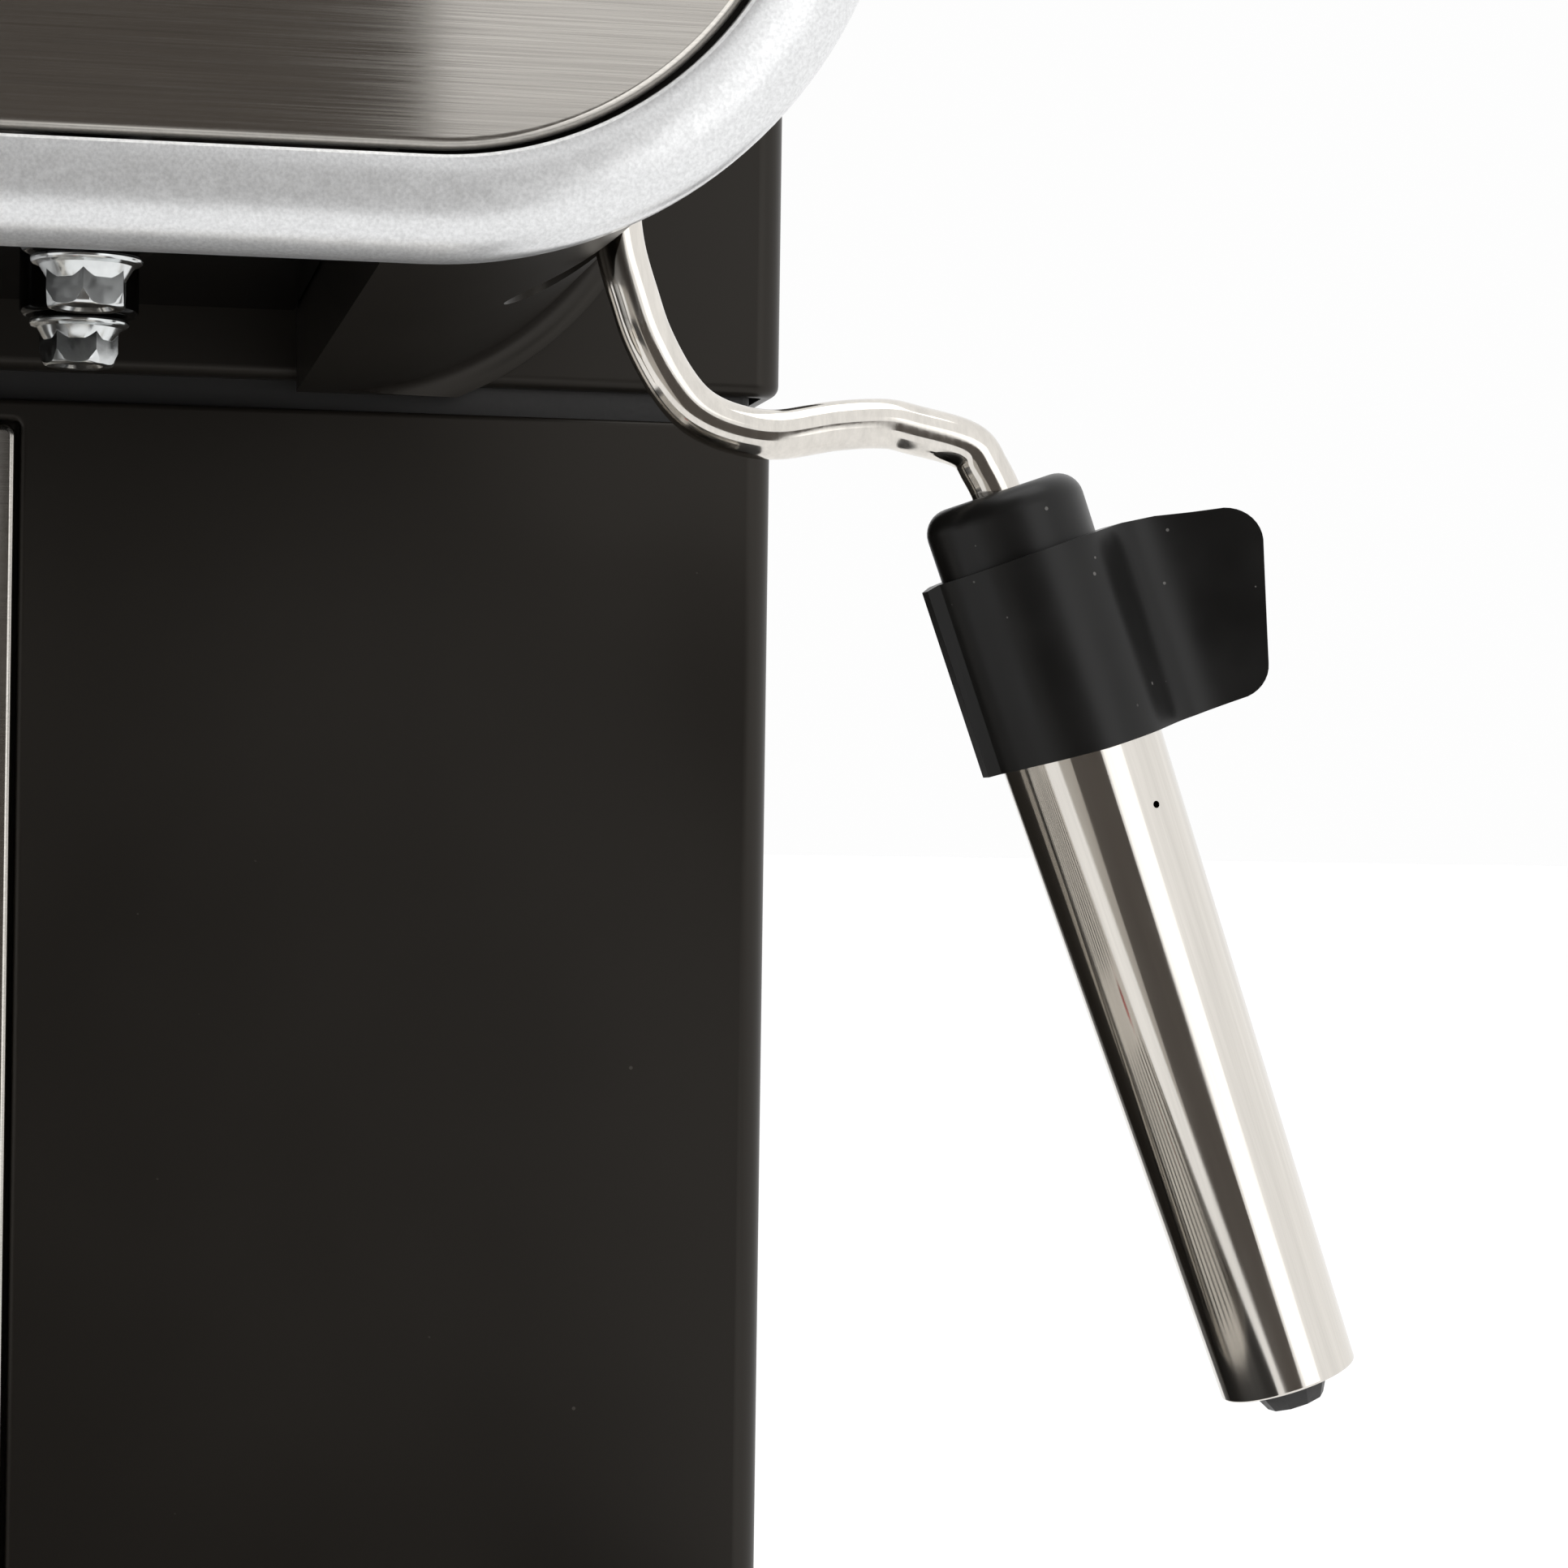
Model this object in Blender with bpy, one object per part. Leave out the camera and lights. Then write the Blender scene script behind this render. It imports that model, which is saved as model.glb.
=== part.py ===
"""Pump espresso machine with a projecting head, a steam wand and a rear water tank.

All sizes below are millimetres and become metres when a mesh is made.  X runs to
the machine's right, -Y is its front, Z is up.  The sizes are laid out around the
brewing group's axis at X = 0, Y = 0, with the feet on Z = 0; the finished machine is
then moved so that the middle of its whole box's underside is the origin.
"""
import math

import bmesh
import bpy
from mathutils import Vector

MM = 0.001

# Clearances
TOUCH_GAP = 0.3          # between pieces that rest on or press against each other
SLIDE_GAP = 0.5          # around pieces that slide or turn
TRIM_GAP = 0.6           # shadow line around a panel set into another

# Base and drip tray
BASE_HALF_WIDTH = 141.0
BASE_FRONT_Y = -72.0
BASE_BACK_Y = 222.0
BASE_HEIGHT = 40.0
BASE_CORNER = 14.0
FOOT_HEIGHT = 6.0
FOOT_RADIUS = 10.0
FOOT_INSET = 24.0
WALL = 2.5
TRAY_SIDE_MARGIN = 30.0
TRAY_FLOOR = 6.0
TRAY_WALL = 2.2
GRATE_THICKNESS = 2.2
GRATE_SLOTS = 9
GRATE_SLOT_WIDTH = 5.0
FLOAT_RADIUS = 7.0

# Column and upper housing
FACE_Y = 93.6            # front face of the column and of the upper housing
BODY_DEPTH = 81.2
HOUSING_HALF_WIDTH = 140.4
COLUMN_INSET = 1.2
COLUMN_DROP = 2.2        # top of the column below the head's underside
SHADOW_GAP = 4.0         # dark line between column and upper housing
BODY_CORNER = 4.0
STRIP_HALF_WIDTH = 34.2
STRIP_THICKNESS = 2.4
WARMER_MARGIN = 6.0
WARMER_RIM = 6.0
WARMER_WALL = 1.8
WARMER_CORNER = 12.0

# Head
HEAD_FRONT_Y = -49.6
HEAD_BOTTOM = 221.0
HEAD_HEIGHT = 100.4
HEAD_HALF_WIDTH = 120.4
HEAD_CORNER_WISH = 45.8  # limited by half the head's height
HEAD_WALL = 3.0
BEZEL_LIP = 2.8          # how far the bezel stands out around the head
BEZEL_RING = 10.0
BEZEL_DEPTH = 7.6
PLATE_THICKNESS = 1.4
PLATE_SET_BACK = 1.2
RECESS_HALF_WIDTH = 72.0
RECESS_DEPTH = 11.2
RECESS_SHEET = 2.5

# Group, bolts and portafilter
GROUP_WALL = 2.5
LOCK_GROOVE = 2.8
GROUP_DROP = 24.0        # collar below the head's underside
SCREEN_RADIUS = 20.0
BOLT_X = 41.5
BOLT_Y = 26.0
BOLT_FLATS = 8.0
BOLT_FLANGE_RADIUS = 5.9
BOLT_HEAD = 5.6
BOSS_RADIUS = 7.0
CUP_RADIUS = 25.7
CUP_WALL = 2.0
CUP_HEIGHT = 29.0
ARM_LENGTH = 32.0
FERRULE = 7.0
HANDLE_LENGTH = 92.0
HANDLE_RADIUS = 12.5
LOCK_LIP = 6.0

# Boiler
BOILER_RADIUS = 36.0
BOILER_WALL = 3.0
BOILER_BASE_HEIGHT = 20.0
BOILER_HEADROOM = 24.0   # above the dome, for the thermostat

# Front controls
GAUGE_RISE = 9.8         # gauge and buttons above the middle of the head
GAUGE_RADIUS = 20.0
GAUGE_DEPTH = 9.0
BUTTON_RADIUS = 8.0
BUTTON_MARGIN = 7.0      # between the gauge and the first button
BUTTON_INSET = 32.0      # last button's axis inside the head's side
BUTTON_PROUD = 2.6
BUTTON_DEPTH = 12.0
NEEDLE_LENGTH = 14.0

# Steam valve and wand
KNOB_X = 56.0
KNOB_RADIUS = 17.0
KNOB_HEIGHT = 20.0
STEM_RADIUS = 3.0
WAND_INSET = 16.4        # steam tube inside the head's side
WAND_Y = 20.0
BALL_DROP = 8.7          # ball centre below the middle of the head's inside
BALL_RADIUS = 7.5
TUBE_RADIUS = 3.05
SLEEVE_TILT = math.radians(19.65)
GRIP_REACH = 48.8        # top of the grip from the ball, sideways
GRIP_DROP = 17.5         # top of the grip below the head's underside
GRIP_COLLAR_RADIUS = 10.0
GRIP_COLLAR_LENGTH = 9.0
GRIP_WALL = 1.1
GRIP_LENGTH = 33.8
TAB_REACH = 28.0
TAB_THICKNESS = 4.0
TAB_FRONT = 6.0          # tab's front face ahead of the wand's axis
SLEEVE_TOP_RADIUS = 10.2
SLEEVE_END_RADIUS = 8.7
SLEEVE_WALL = 0.8
SLEEVE_END = 116.3
SLEEVE_SEAT = 6.5        # length of the sleeve hidden in the grip
NOZZLE_RADIUS = 4.8
NOZZLE_PROUD = 3.2
NOZZLE_LENGTH = 16.0

# Water tank
TANK_HALF_WIDTH = 118.0
TANK_DEPTH = 42.0
TANK_HEIGHT = 232.0
TANK_WALL = 2.0
TANK_CORNER = 12.0
LID_THICKNESS = 3.0
VALVE_RADIUS = 8.0

# Pump
PUMP_RADIUS = 16.0
PUMP_LENGTH = 84.0
HOSE_RADIUS = 3.6

# Inlet
INLET_X = 92.0
INLET_WIDTH = 27.0
INLET_HEIGHT = 20.0

# Planes that follow from the sizes above
BASE_BOTTOM = FOOT_HEIGHT
BASE_TOP = BASE_BOTTOM + BASE_HEIGHT
COLUMN_TOP = HEAD_BOTTOM - COLUMN_DROP
BODY_BACK_Y = FACE_Y + BODY_DEPTH
HOUSING_BOTTOM = COLUMN_TOP + SHADOW_GAP
HEAD_TOP = HEAD_BOTTOM + HEAD_HEIGHT
HEAD_CORNER = min(HEAD_CORNER_WISH, HEAD_HEIGHT / 2.0 - 1.0)
RECESS_TOP = HEAD_BOTTOM + RECESS_DEPTH
INSIDE_FLOOR = RECESS_TOP + RECESS_SHEET + TOUCH_GAP
INSIDE_CEILING = HEAD_TOP - HEAD_WALL
BEZEL_BACK_Y = HEAD_FRONT_Y - TOUCH_GAP
BEZEL_FRONT_Y = BEZEL_BACK_Y - BEZEL_DEPTH
PLATE_FRONT_Y = BEZEL_FRONT_Y + PLATE_SET_BACK
PLATE_BACK_Y = PLATE_FRONT_Y + PLATE_THICKNESS
TRAY_HALF_WIDTH = BASE_HALF_WIDTH - TRAY_SIDE_MARGIN
TRAY_BACK_Y = FACE_Y - 6.0
GROUP_BOTTOM = HEAD_BOTTOM - GROUP_DROP
LOCK_RADIUS = CUP_RADIUS + SLIDE_GAP
GROUP_RADIUS = LOCK_RADIUS + LOCK_GROOVE + GROUP_WALL
BALL_Z = (INSIDE_FLOOR + INSIDE_CEILING) / 2.0 - BALL_DROP
WAND_X = HEAD_HALF_WIDTH - WAND_INSET
GAUGE_Z = HEAD_BOTTOM + HEAD_HEIGHT * 0.5 + GAUGE_RISE
GRIP_X = WAND_X + GRIP_REACH
GRIP_Z = HEAD_BOTTOM - GRIP_DROP
GRIP_RADIUS = SLEEVE_TOP_RADIUS + TOUCH_GAP + GRIP_WALL

ROUND = 24
SMALL_ROUND = 12


# ---------------------------------------------------------------- mesh tools

def front_view(a, b, c):
    """Outline in X and Z, pushed along Y."""
    return (a, c, b)


def plan_view(a, b, c):
    """Outline in X and Y, pushed along Z."""
    return (a, b, c)


def side_view(a, b, c):
    """Outline in Y and Z, pushed along X."""
    return (c, a, b)


def upright(x, y):
    """Turning axis along Z through (x, y)."""
    return lambda a, b, h: (x + a, y + b, h)


def forward(x, z):
    """Turning axis along Y through (x, z)."""
    return lambda a, b, h: (x + a, h, z + b)


def sideways(y, z):
    """Turning axis along X through (y, z)."""
    return lambda a, b, h: (h, y + a, z + b)


def on_wand(a, b, h):
    """Wand place: a across to the right, b towards the back, h down the sleeve."""
    across = Vector((math.cos(SLEEVE_TILT), 0.0, math.sin(SLEEVE_TILT)))
    down = Vector((math.sin(SLEEVE_TILT), 0.0, -math.cos(SLEEVE_TILT)))
    place = Vector((GRIP_X, WAND_Y, GRIP_Z)) + across * a + down * h
    return (place.x, place.y + b, place.z)


def rounded_rectangle(left, right, low, high, radius, steps=5):
    """Outline with round corners, anticlockwise from the lower right one."""
    corners = (
        (right - radius, low + radius, -90.0),
        (right - radius, high - radius, 0.0),
        (left + radius, high - radius, 90.0),
        (left + radius, low + radius, 180.0),
    )
    outline = []
    for centre_a, centre_b, start in corners:
        for step in range(steps + 1):
            angle = math.radians(start + 90.0 * step / steps)
            a = centre_a + radius * math.cos(angle)
            b = centre_b + radius * math.sin(angle)
            outline.append((a, b))
    return outline


def rectangle(left, right, low, high):
    return [(left, low), (right, low), (right, high), (left, high)]


def circle(radius, sides, start=0.0):
    turns = [start + 2.0 * math.pi * step / sides for step in range(sides)]
    return [(radius * math.cos(turn), radius * math.sin(turn)) for turn in turns]


def prism(outline, place, low, high):
    """Two copies of an outline, to be joined by walls."""
    return [[place(a, b, level) for a, b in outline] for level in (low, high)]


def turned(profile, place, sides=ROUND):
    """Rings from a profile of (radius, height); a radius of 0 makes a pole."""
    rings = []
    for radius, height in profile:
        if radius == 0.0:
            rings.append([place(0.0, 0.0, height)])
        else:
            rings.append([place(a, b, height) for a, b in circle(radius, sides)])
    return rings


def swept(points, radius, sides=12):
    """Rings of a round bar along points, without twist."""
    route = [Vector(point) for point in points]
    rings = []
    normal = None
    for index, point in enumerate(route):
        before = route[max(index - 1, 0)]
        after = route[min(index + 1, len(route) - 1)]
        direction = (after - before).normalized()
        if normal is None:
            guide = Vector((0.0, 1.0, 0.0)) if abs(direction.y) < 0.9 else Vector((1.0, 0.0, 0.0))
            normal = direction.cross(guide).normalized()
        normal = (normal - direction * normal.dot(direction)).normalized()
        side = direction.cross(normal)
        rings.append([tuple(point + normal * a + side * b) for a, b in circle(radius, sides)])
    return rings


def smooth_route(points, steps=4):
    """Points of a Catmull-Rom curve through the given ones."""
    route = [Vector(point) for point in points]
    result = []
    for index in range(len(route) - 1):
        p0 = route[max(index - 1, 0)]
        p1 = route[index]
        p2 = route[index + 1]
        p3 = route[min(index + 2, len(route) - 1)]
        for step in range(steps):
            t = step / steps
            bend = 2.0 * p0 - 5.0 * p1 + 4.0 * p2 - p3
            twist = 3.0 * p1 - p0 - 3.0 * p2 + p3
            result.append(0.5 * (2.0 * p1 + (p2 - p0) * t + bend * t * t + twist * t ** 3))
    result.append(route[-1])
    return result


def build_mesh(name, rings, closed, origin):
    """Joins neighbouring rings by faces and closes the ends."""
    bm = bmesh.new()
    centre = Vector(origin)
    loops = [[bm.verts.new((Vector(point) - centre) * MM) for point in ring] for ring in rings]
    pairs = list(zip(loops, loops[1:]))
    if closed:
        pairs.append((loops[-1], loops[0]))
    for low, high in pairs:
        count = max(len(low), len(high))
        for index in range(count):
            following = (index + 1) % count
            if len(low) == 1:
                bm.faces.new((low[0], high[following], high[index]))
            elif len(high) == 1:
                bm.faces.new((low[index], low[following], high[0]))
            else:
                bm.faces.new((low[index], low[following], high[following], high[index]))
    if not closed:
        for loop in (loops[0], loops[-1]):
            if len(loop) > 2:
                bm.faces.new(loop)
    bmesh.ops.recalc_face_normals(bm, faces=bm.faces)
    mesh = bpy.data.meshes.new(name)
    bm.to_mesh(mesh)
    bm.free()
    mesh.shade_smooth()
    mesh.set_sharp_from_angle(angle=math.radians(35.0))
    return mesh


def add_object(name, rings, closed=False, origin=(0.0, 0.0, 0.0)):
    part = bpy.data.objects.new(name, build_mesh(name, rings, closed, origin))
    part.location = Vector(origin) * MM
    bpy.context.scene.collection.objects.link(part)
    return part


def add_part(name, finish, rings, closed=False, origin=(0.0, 0.0, 0.0)):
    """A visible piece with a material of its own, its origin on its joint's axis."""
    colour, roughness, metallic = finish
    part = add_object(name, rings, closed, origin)
    material = bpy.data.materials.new(name)
    material.use_nodes = True
    shader = material.node_tree.nodes["Principled BSDF"]
    shader.inputs["Base Color"].default_value = (*colour, 1.0)
    shader.inputs["Roughness"].default_value = roughness
    shader.inputs["Metallic"].default_value = metallic
    part.data.materials.append(material)
    return part


def combine(part, suffix, operation, rings, closed=False):
    """Cuts or adds a hidden shape with a live Boolean."""
    shape = add_object(part.name + "_" + suffix, rings, closed)
    shape.hide_render = True
    shape.display_type = "WIRE"
    modifier = part.modifiers.new(suffix, "BOOLEAN")
    modifier.operation = operation
    modifier.solver = "EXACT"
    modifier.object = shape


def cut(part, suffix, rings, closed=False):
    combine(part, suffix, "DIFFERENCE", rings, closed)


def fuse(part, suffix, rings, closed=False):
    combine(part, suffix, "UNION", rings, closed)


# ---------------------------------------------------------------- finishes

BLACK_PLASTIC = ((0.022, 0.020, 0.019), 0.45, 0.0)
BLACK_GLOSS = ((0.010, 0.010, 0.010), 0.12, 0.0)
BLACK_RUBBER = ((0.030, 0.029, 0.028), 0.60, 0.0)
DARK_PAINT = ((0.030, 0.027, 0.024), 0.38, 0.0)
SILVER_PAINT = ((0.62, 0.62, 0.61), 0.38, 0.6)
BRUSHED_STEEL = ((0.56, 0.54, 0.50), 0.30, 1.0)
POLISHED_STEEL = ((0.70, 0.69, 0.66), 0.10, 1.0)
ZINC = ((0.66, 0.68, 0.68), 0.22, 1.0)
ALUMINIUM = ((0.60, 0.60, 0.60), 0.35, 1.0)
BRASS = ((0.65, 0.50, 0.24), 0.30, 1.0)
CLEAR_PLASTIC = ((0.75, 0.78, 0.80), 0.10, 0.0)
WHITE_PLASTIC = ((0.80, 0.80, 0.78), 0.40, 0.0)
RED_PLASTIC = ((0.60, 0.03, 0.02), 0.40, 0.0)
SILICONE = ((0.78, 0.78, 0.76), 0.50, 0.0)


# ---------------------------------------------------------------- base

def make_base():
    outline = rounded_rectangle(
        -BASE_HALF_WIDTH, BASE_HALF_WIDTH, BASE_FRONT_Y, BASE_BACK_Y, BASE_CORNER)
    base = add_part("base_housing", BLACK_PLASTIC,
                    prism(outline, plan_view, BASE_BOTTOM, BASE_TOP))
    pocket = rectangle(-TRAY_HALF_WIDTH, TRAY_HALF_WIDTH, BASE_FRONT_Y - WALL, TRAY_BACK_Y)
    cut(base, "tray_pocket",
        prism(pocket, plan_view, BASE_BOTTOM + TRAY_FLOOR, BASE_TOP + WALL))
    cavity = rounded_rectangle(
        -BASE_HALF_WIDTH + WALL, BASE_HALF_WIDTH - WALL,
        TRAY_BACK_Y + WALL, BASE_BACK_Y - WALL, BASE_CORNER - WALL)
    cut(base, "cavity", prism(cavity, plan_view, BASE_BOTTOM - WALL, BASE_TOP - WALL))
    hole = rectangle(
        INLET_X - INLET_WIDTH / 2.0 - TOUCH_GAP, INLET_X + INLET_WIDTH / 2.0 + TOUCH_GAP,
        inlet_middle() - INLET_HEIGHT / 2.0 - TOUCH_GAP,
        inlet_middle() + INLET_HEIGHT / 2.0 + TOUCH_GAP)
    cut(base, "inlet_hole",
        prism(hole, front_view, BASE_BACK_Y - 2.0 * WALL, BASE_BACK_Y + WALL))
    seat = turned([(0.0, BASE_TOP - 2.0 * WALL), (VALVE_RADIUS + SLIDE_GAP, BASE_TOP - 2.0 * WALL),
                   (VALVE_RADIUS + SLIDE_GAP, BASE_TOP + WALL), (0.0, BASE_TOP + WALL)],
                  upright(0.0, tank_middle_y()), SMALL_ROUND)
    cut(base, "seat_hole", seat)


def make_bottom_plate():
    inset = WALL + TOUCH_GAP
    outline = rounded_rectangle(
        -BASE_HALF_WIDTH + inset, BASE_HALF_WIDTH - inset,
        TRAY_BACK_Y + inset, BASE_BACK_Y - inset, BASE_CORNER - inset)
    add_part("bottom_plate", ALUMINIUM, prism(outline, plan_view, BASE_BOTTOM, BASE_BOTTOM + 2.0))


def make_feet():
    x = BASE_HALF_WIDTH - FOOT_INSET
    places = {
        "foot_front_left": (-x, BASE_FRONT_Y + FOOT_INSET),
        "foot_front_right": (x, BASE_FRONT_Y + FOOT_INSET),
        "foot_rear_left": (-x, BASE_BACK_Y - FOOT_INSET),
        "foot_rear_right": (x, BASE_BACK_Y - FOOT_INSET),
    }
    top = BASE_BOTTOM - TOUCH_GAP
    profile = [(0.0, 0.0), (FOOT_RADIUS - 1.5, 0.0), (FOOT_RADIUS, 1.5),
               (FOOT_RADIUS, top), (0.0, top)]
    for name, (x, y) in places.items():
        add_part(name, BLACK_RUBBER, turned(profile, upright(x, y), SMALL_ROUND))


def make_drip_tray():
    half = TRAY_HALF_WIDTH - SLIDE_GAP
    low = BASE_BOTTOM + TRAY_FLOOR + TOUCH_GAP
    high = BASE_TOP - GRATE_THICKNESS - TOUCH_GAP
    back = TRAY_BACK_Y - SLIDE_GAP
    tray = add_part("drip_tray", BLACK_PLASTIC,
                    prism(rectangle(-half, half, BASE_FRONT_Y, back), plan_view, low, high))
    inner = rounded_rectangle(-half + TRAY_WALL, half - TRAY_WALL,
                              BASE_FRONT_Y + 2.0 * TRAY_WALL, back - TRAY_WALL, 6.0, 3)
    cut(tray, "hollow", prism(inner, plan_view, low + TRAY_WALL, high + TRAY_WALL))


def make_drip_grate():
    half = TRAY_HALF_WIDTH - SLIDE_GAP
    back = TRAY_BACK_Y - SLIDE_GAP
    low = BASE_TOP - GRATE_THICKNESS
    outline = rounded_rectangle(-half, half, BASE_FRONT_Y, back, 3.0, 2)
    grate = add_part("drip_grate", BRUSHED_STEEL, prism(outline, plan_view, low, BASE_TOP))
    length = back - BASE_FRONT_Y
    pitch = length / (GRATE_SLOTS + 1)
    for number in range(GRATE_SLOTS):
        y = BASE_FRONT_Y + pitch * (number + 1)
        for side, name in ((-1.0, "left"), (1.0, "right")):
            ends = sorted((side * (FLOAT_RADIUS + 8.0), side * (half - 10.0)))
            slot = rectangle(ends[0], ends[1], y - GRATE_SLOT_WIDTH / 2.0,
                             y + GRATE_SLOT_WIDTH / 2.0)
            cut(grate, "slot_%s_%d" % (name, number),
                prism(slot, plan_view, low - 1.0, BASE_TOP + 1.0))
    hole = circle(FLOAT_RADIUS + SLIDE_GAP, SMALL_ROUND)
    around = [(a, b + float_y()) for a, b in hole]
    cut(grate, "float_hole", prism(around, plan_view, low - 1.0, BASE_TOP + 1.0))


def float_y():
    return BASE_FRONT_Y + 34.0


def make_drip_float():
    floor = BASE_BOTTOM + TRAY_FLOOR + TRAY_WALL + 2.0 * TOUCH_GAP
    top = BASE_TOP - 0.5
    profile = [(0.0, floor), (FLOAT_RADIUS - 1.0, floor), (FLOAT_RADIUS, floor + 1.0),
               (FLOAT_RADIUS, top - 1.0), (FLOAT_RADIUS - 1.0, top), (0.0, top)]
    add_part("drip_float", RED_PLASTIC, turned(profile, upright(0.0, float_y()), SMALL_ROUND),
             origin=(0.0, float_y(), floor))


def inlet_middle():
    return BASE_BOTTOM + BASE_HEIGHT / 2.0


def make_power_inlet():
    middle = inlet_middle()
    half_width = INLET_WIDTH / 2.0
    half_height = INLET_HEIGHT / 2.0
    body = rectangle(INLET_X - half_width, INLET_X + half_width,
                     middle - half_height, middle + half_height)
    inlet = add_part("power_inlet", BLACK_PLASTIC,
                     prism(body, front_view, BASE_BACK_Y - 22.0, BASE_BACK_Y))
    socket = rounded_rectangle(INLET_X - half_width + WALL, INLET_X + half_width - WALL,
                               middle - half_height + WALL, middle + half_height - WALL, 3.0, 3)
    cut(inlet, "socket", prism(socket, front_view, BASE_BACK_Y - 16.0, BASE_BACK_Y + WALL))


# ---------------------------------------------------------------- column and housing

def body_outline(half_width, inset=0.0):
    corner = max(BODY_CORNER - inset, 1.0)
    return rounded_rectangle(-half_width + inset, half_width - inset,
                             FACE_Y + inset, BODY_BACK_Y - inset, corner, 4)


def make_column():
    half = HOUSING_HALF_WIDTH - COLUMN_INSET
    low = BASE_TOP + TOUCH_GAP
    column = add_part("column_body", DARK_PAINT,
                      prism(body_outline(half), plan_view, low, COLUMN_TOP))
    cut(column, "hollow",
        prism(body_outline(half, WALL), plan_view, low - WALL, COLUMN_TOP + WALL))
    channel = rectangle(-STRIP_HALF_WIDTH - TRIM_GAP, STRIP_HALF_WIDTH + TRIM_GAP,
                        FACE_Y - WALL, FACE_Y + 2.0 * WALL)
    cut(column, "channel", prism(channel, plan_view, low + 3.0, COLUMN_TOP - 3.0))


def make_splash_strip():
    front = FACE_Y - 0.4
    outline = rounded_rectangle(-STRIP_HALF_WIDTH, STRIP_HALF_WIDTH,
                                front, front + STRIP_THICKNESS, STRIP_THICKNESS * 0.45, 3)
    low = BASE_TOP + TOUCH_GAP + 3.0 + TRIM_GAP
    add_part("splash_strip", BRUSHED_STEEL,
             prism(outline, plan_view, low, COLUMN_TOP - 3.0 - TRIM_GAP))


def make_joint_trim():
    half = HOUSING_HALF_WIDTH - COLUMN_INSET
    outer = body_outline(half, WALL + SLIDE_GAP)
    low = COLUMN_TOP - 2.4
    high = HOUSING_BOTTOM + 3.0
    trim = add_part("joint_trim", BLACK_PLASTIC, prism(outer, plan_view, low, high))
    cut(trim, "hollow",
        prism(body_outline(half, 2.0 * WALL + SLIDE_GAP), plan_view, low - 1.0, high + 1.0))


def make_upper_housing():
    housing = add_part("upper_housing", DARK_PAINT,
                       prism(body_outline(HOUSING_HALF_WIDTH), plan_view, HOUSING_BOTTOM, HEAD_TOP))
    cut(housing, "hollow", prism(body_outline(HOUSING_HALF_WIDTH, WALL), plan_view,
                                 HOUSING_BOTTOM - WALL, HEAD_TOP - WALL))
    window = rectangle(-RECESS_HALF_WIDTH, RECESS_HALF_WIDTH,
                       RECESS_TOP + 8.0, HEAD_TOP - 14.0)
    cut(housing, "window", prism(window, front_view, FACE_Y - WALL, FACE_Y + 2.0 * WALL))


def make_chassis():
    half = HOUSING_HALF_WIDTH - COLUMN_INSET - 3.0 * WALL
    back = BODY_BACK_Y - 2.0 * WALL - SLIDE_GAP - TOUCH_GAP
    top = HEAD_TOP - WALL - 2.0
    frame = add_part("chassis", ALUMINIUM,
                     prism(rectangle(-half, half, BASE_TOP + TOUCH_GAP, top),
                           front_view, back - 1.5, back))
    window = rectangle(-half + 24.0, half - 24.0, BASE_TOP + 60.0, COLUMN_TOP - 40.0)
    cut(frame, "window", prism(window, front_view, back - 4.0, back + 2.0))


def make_cup_warmer():
    half = HEAD_HALF_WIDTH - HEAD_CORNER
    front = WAND_Y + KNOB_RADIUS + WARMER_MARGIN
    back = BODY_BACK_Y - WARMER_MARGIN
    low = HEAD_TOP + TOUCH_GAP
    top = low + WARMER_RIM
    outline = rounded_rectangle(-half, half, front, back, WARMER_CORNER, 4)
    tray = add_part("cup_warmer", BRUSHED_STEEL, prism(outline, plan_view, low, top))
    inner = rounded_rectangle(-half + WARMER_WALL, half - WARMER_WALL, front + WARMER_WALL,
                              back - WARMER_WALL, WARMER_CORNER - WARMER_WALL, 4)
    cut(tray, "hollow", prism(inner, plan_view, low + WARMER_WALL, top + WARMER_WALL))


# ---------------------------------------------------------------- head

def head_outline(inset=0.0, steps=8):
    return rounded_rectangle(-HEAD_HALF_WIDTH + inset, HEAD_HALF_WIDTH - inset,
                             HEAD_BOTTOM + inset, HEAD_TOP - inset, HEAD_CORNER - inset, steps)


def make_head_shell():
    back = FACE_Y - TOUCH_GAP
    head = add_part("head_shell", DARK_PAINT,
                    prism(head_outline(), front_view, HEAD_FRONT_Y, back))
    corner = min(HEAD_CORNER - HEAD_WALL, (INSIDE_CEILING - INSIDE_FLOOR) / 2.0 - 0.5)
    inner = rounded_rectangle(-HEAD_HALF_WIDTH + HEAD_WALL, HEAD_HALF_WIDTH - HEAD_WALL,
                              INSIDE_FLOOR, INSIDE_CEILING, corner, 8)
    cut(head, "hollow", prism(inner, front_view, HEAD_FRONT_Y - WALL, back + WALL))
    recess = rectangle(-RECESS_HALF_WIDTH, RECESS_HALF_WIDTH, HEAD_BOTTOM - WALL,
                       INSIDE_FLOOR + WALL)
    cut(head, "recess", prism(recess, front_view, HEAD_FRONT_Y - WALL, back + WALL))
    slot = rounded_rectangle(WAND_X - 12.5, WAND_X + 9.5, WAND_Y - 6.5, WAND_Y + 6.5, 6.4, 4)
    cut(head, "wand_slot", prism(slot, plan_view, HEAD_BOTTOM - WALL, BALL_Z - 6.0))
    stem = [(KNOB_X + a, WAND_Y + b) for a, b in circle(STEM_RADIUS + SLIDE_GAP, SMALL_ROUND)]
    cut(head, "stem_hole", prism(stem, plan_view, HEAD_TOP - 2.0 * HEAD_WALL, HEAD_TOP + WALL))


def bolt_places():
    return {
        "group_bolt_front_left": (-BOLT_X, -BOLT_Y),
        "group_bolt_front_right": (BOLT_X, -BOLT_Y),
        "group_bolt_rear_left": (-BOLT_X, BOLT_Y),
        "group_bolt_rear_right": (BOLT_X, BOLT_Y),
    }


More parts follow.
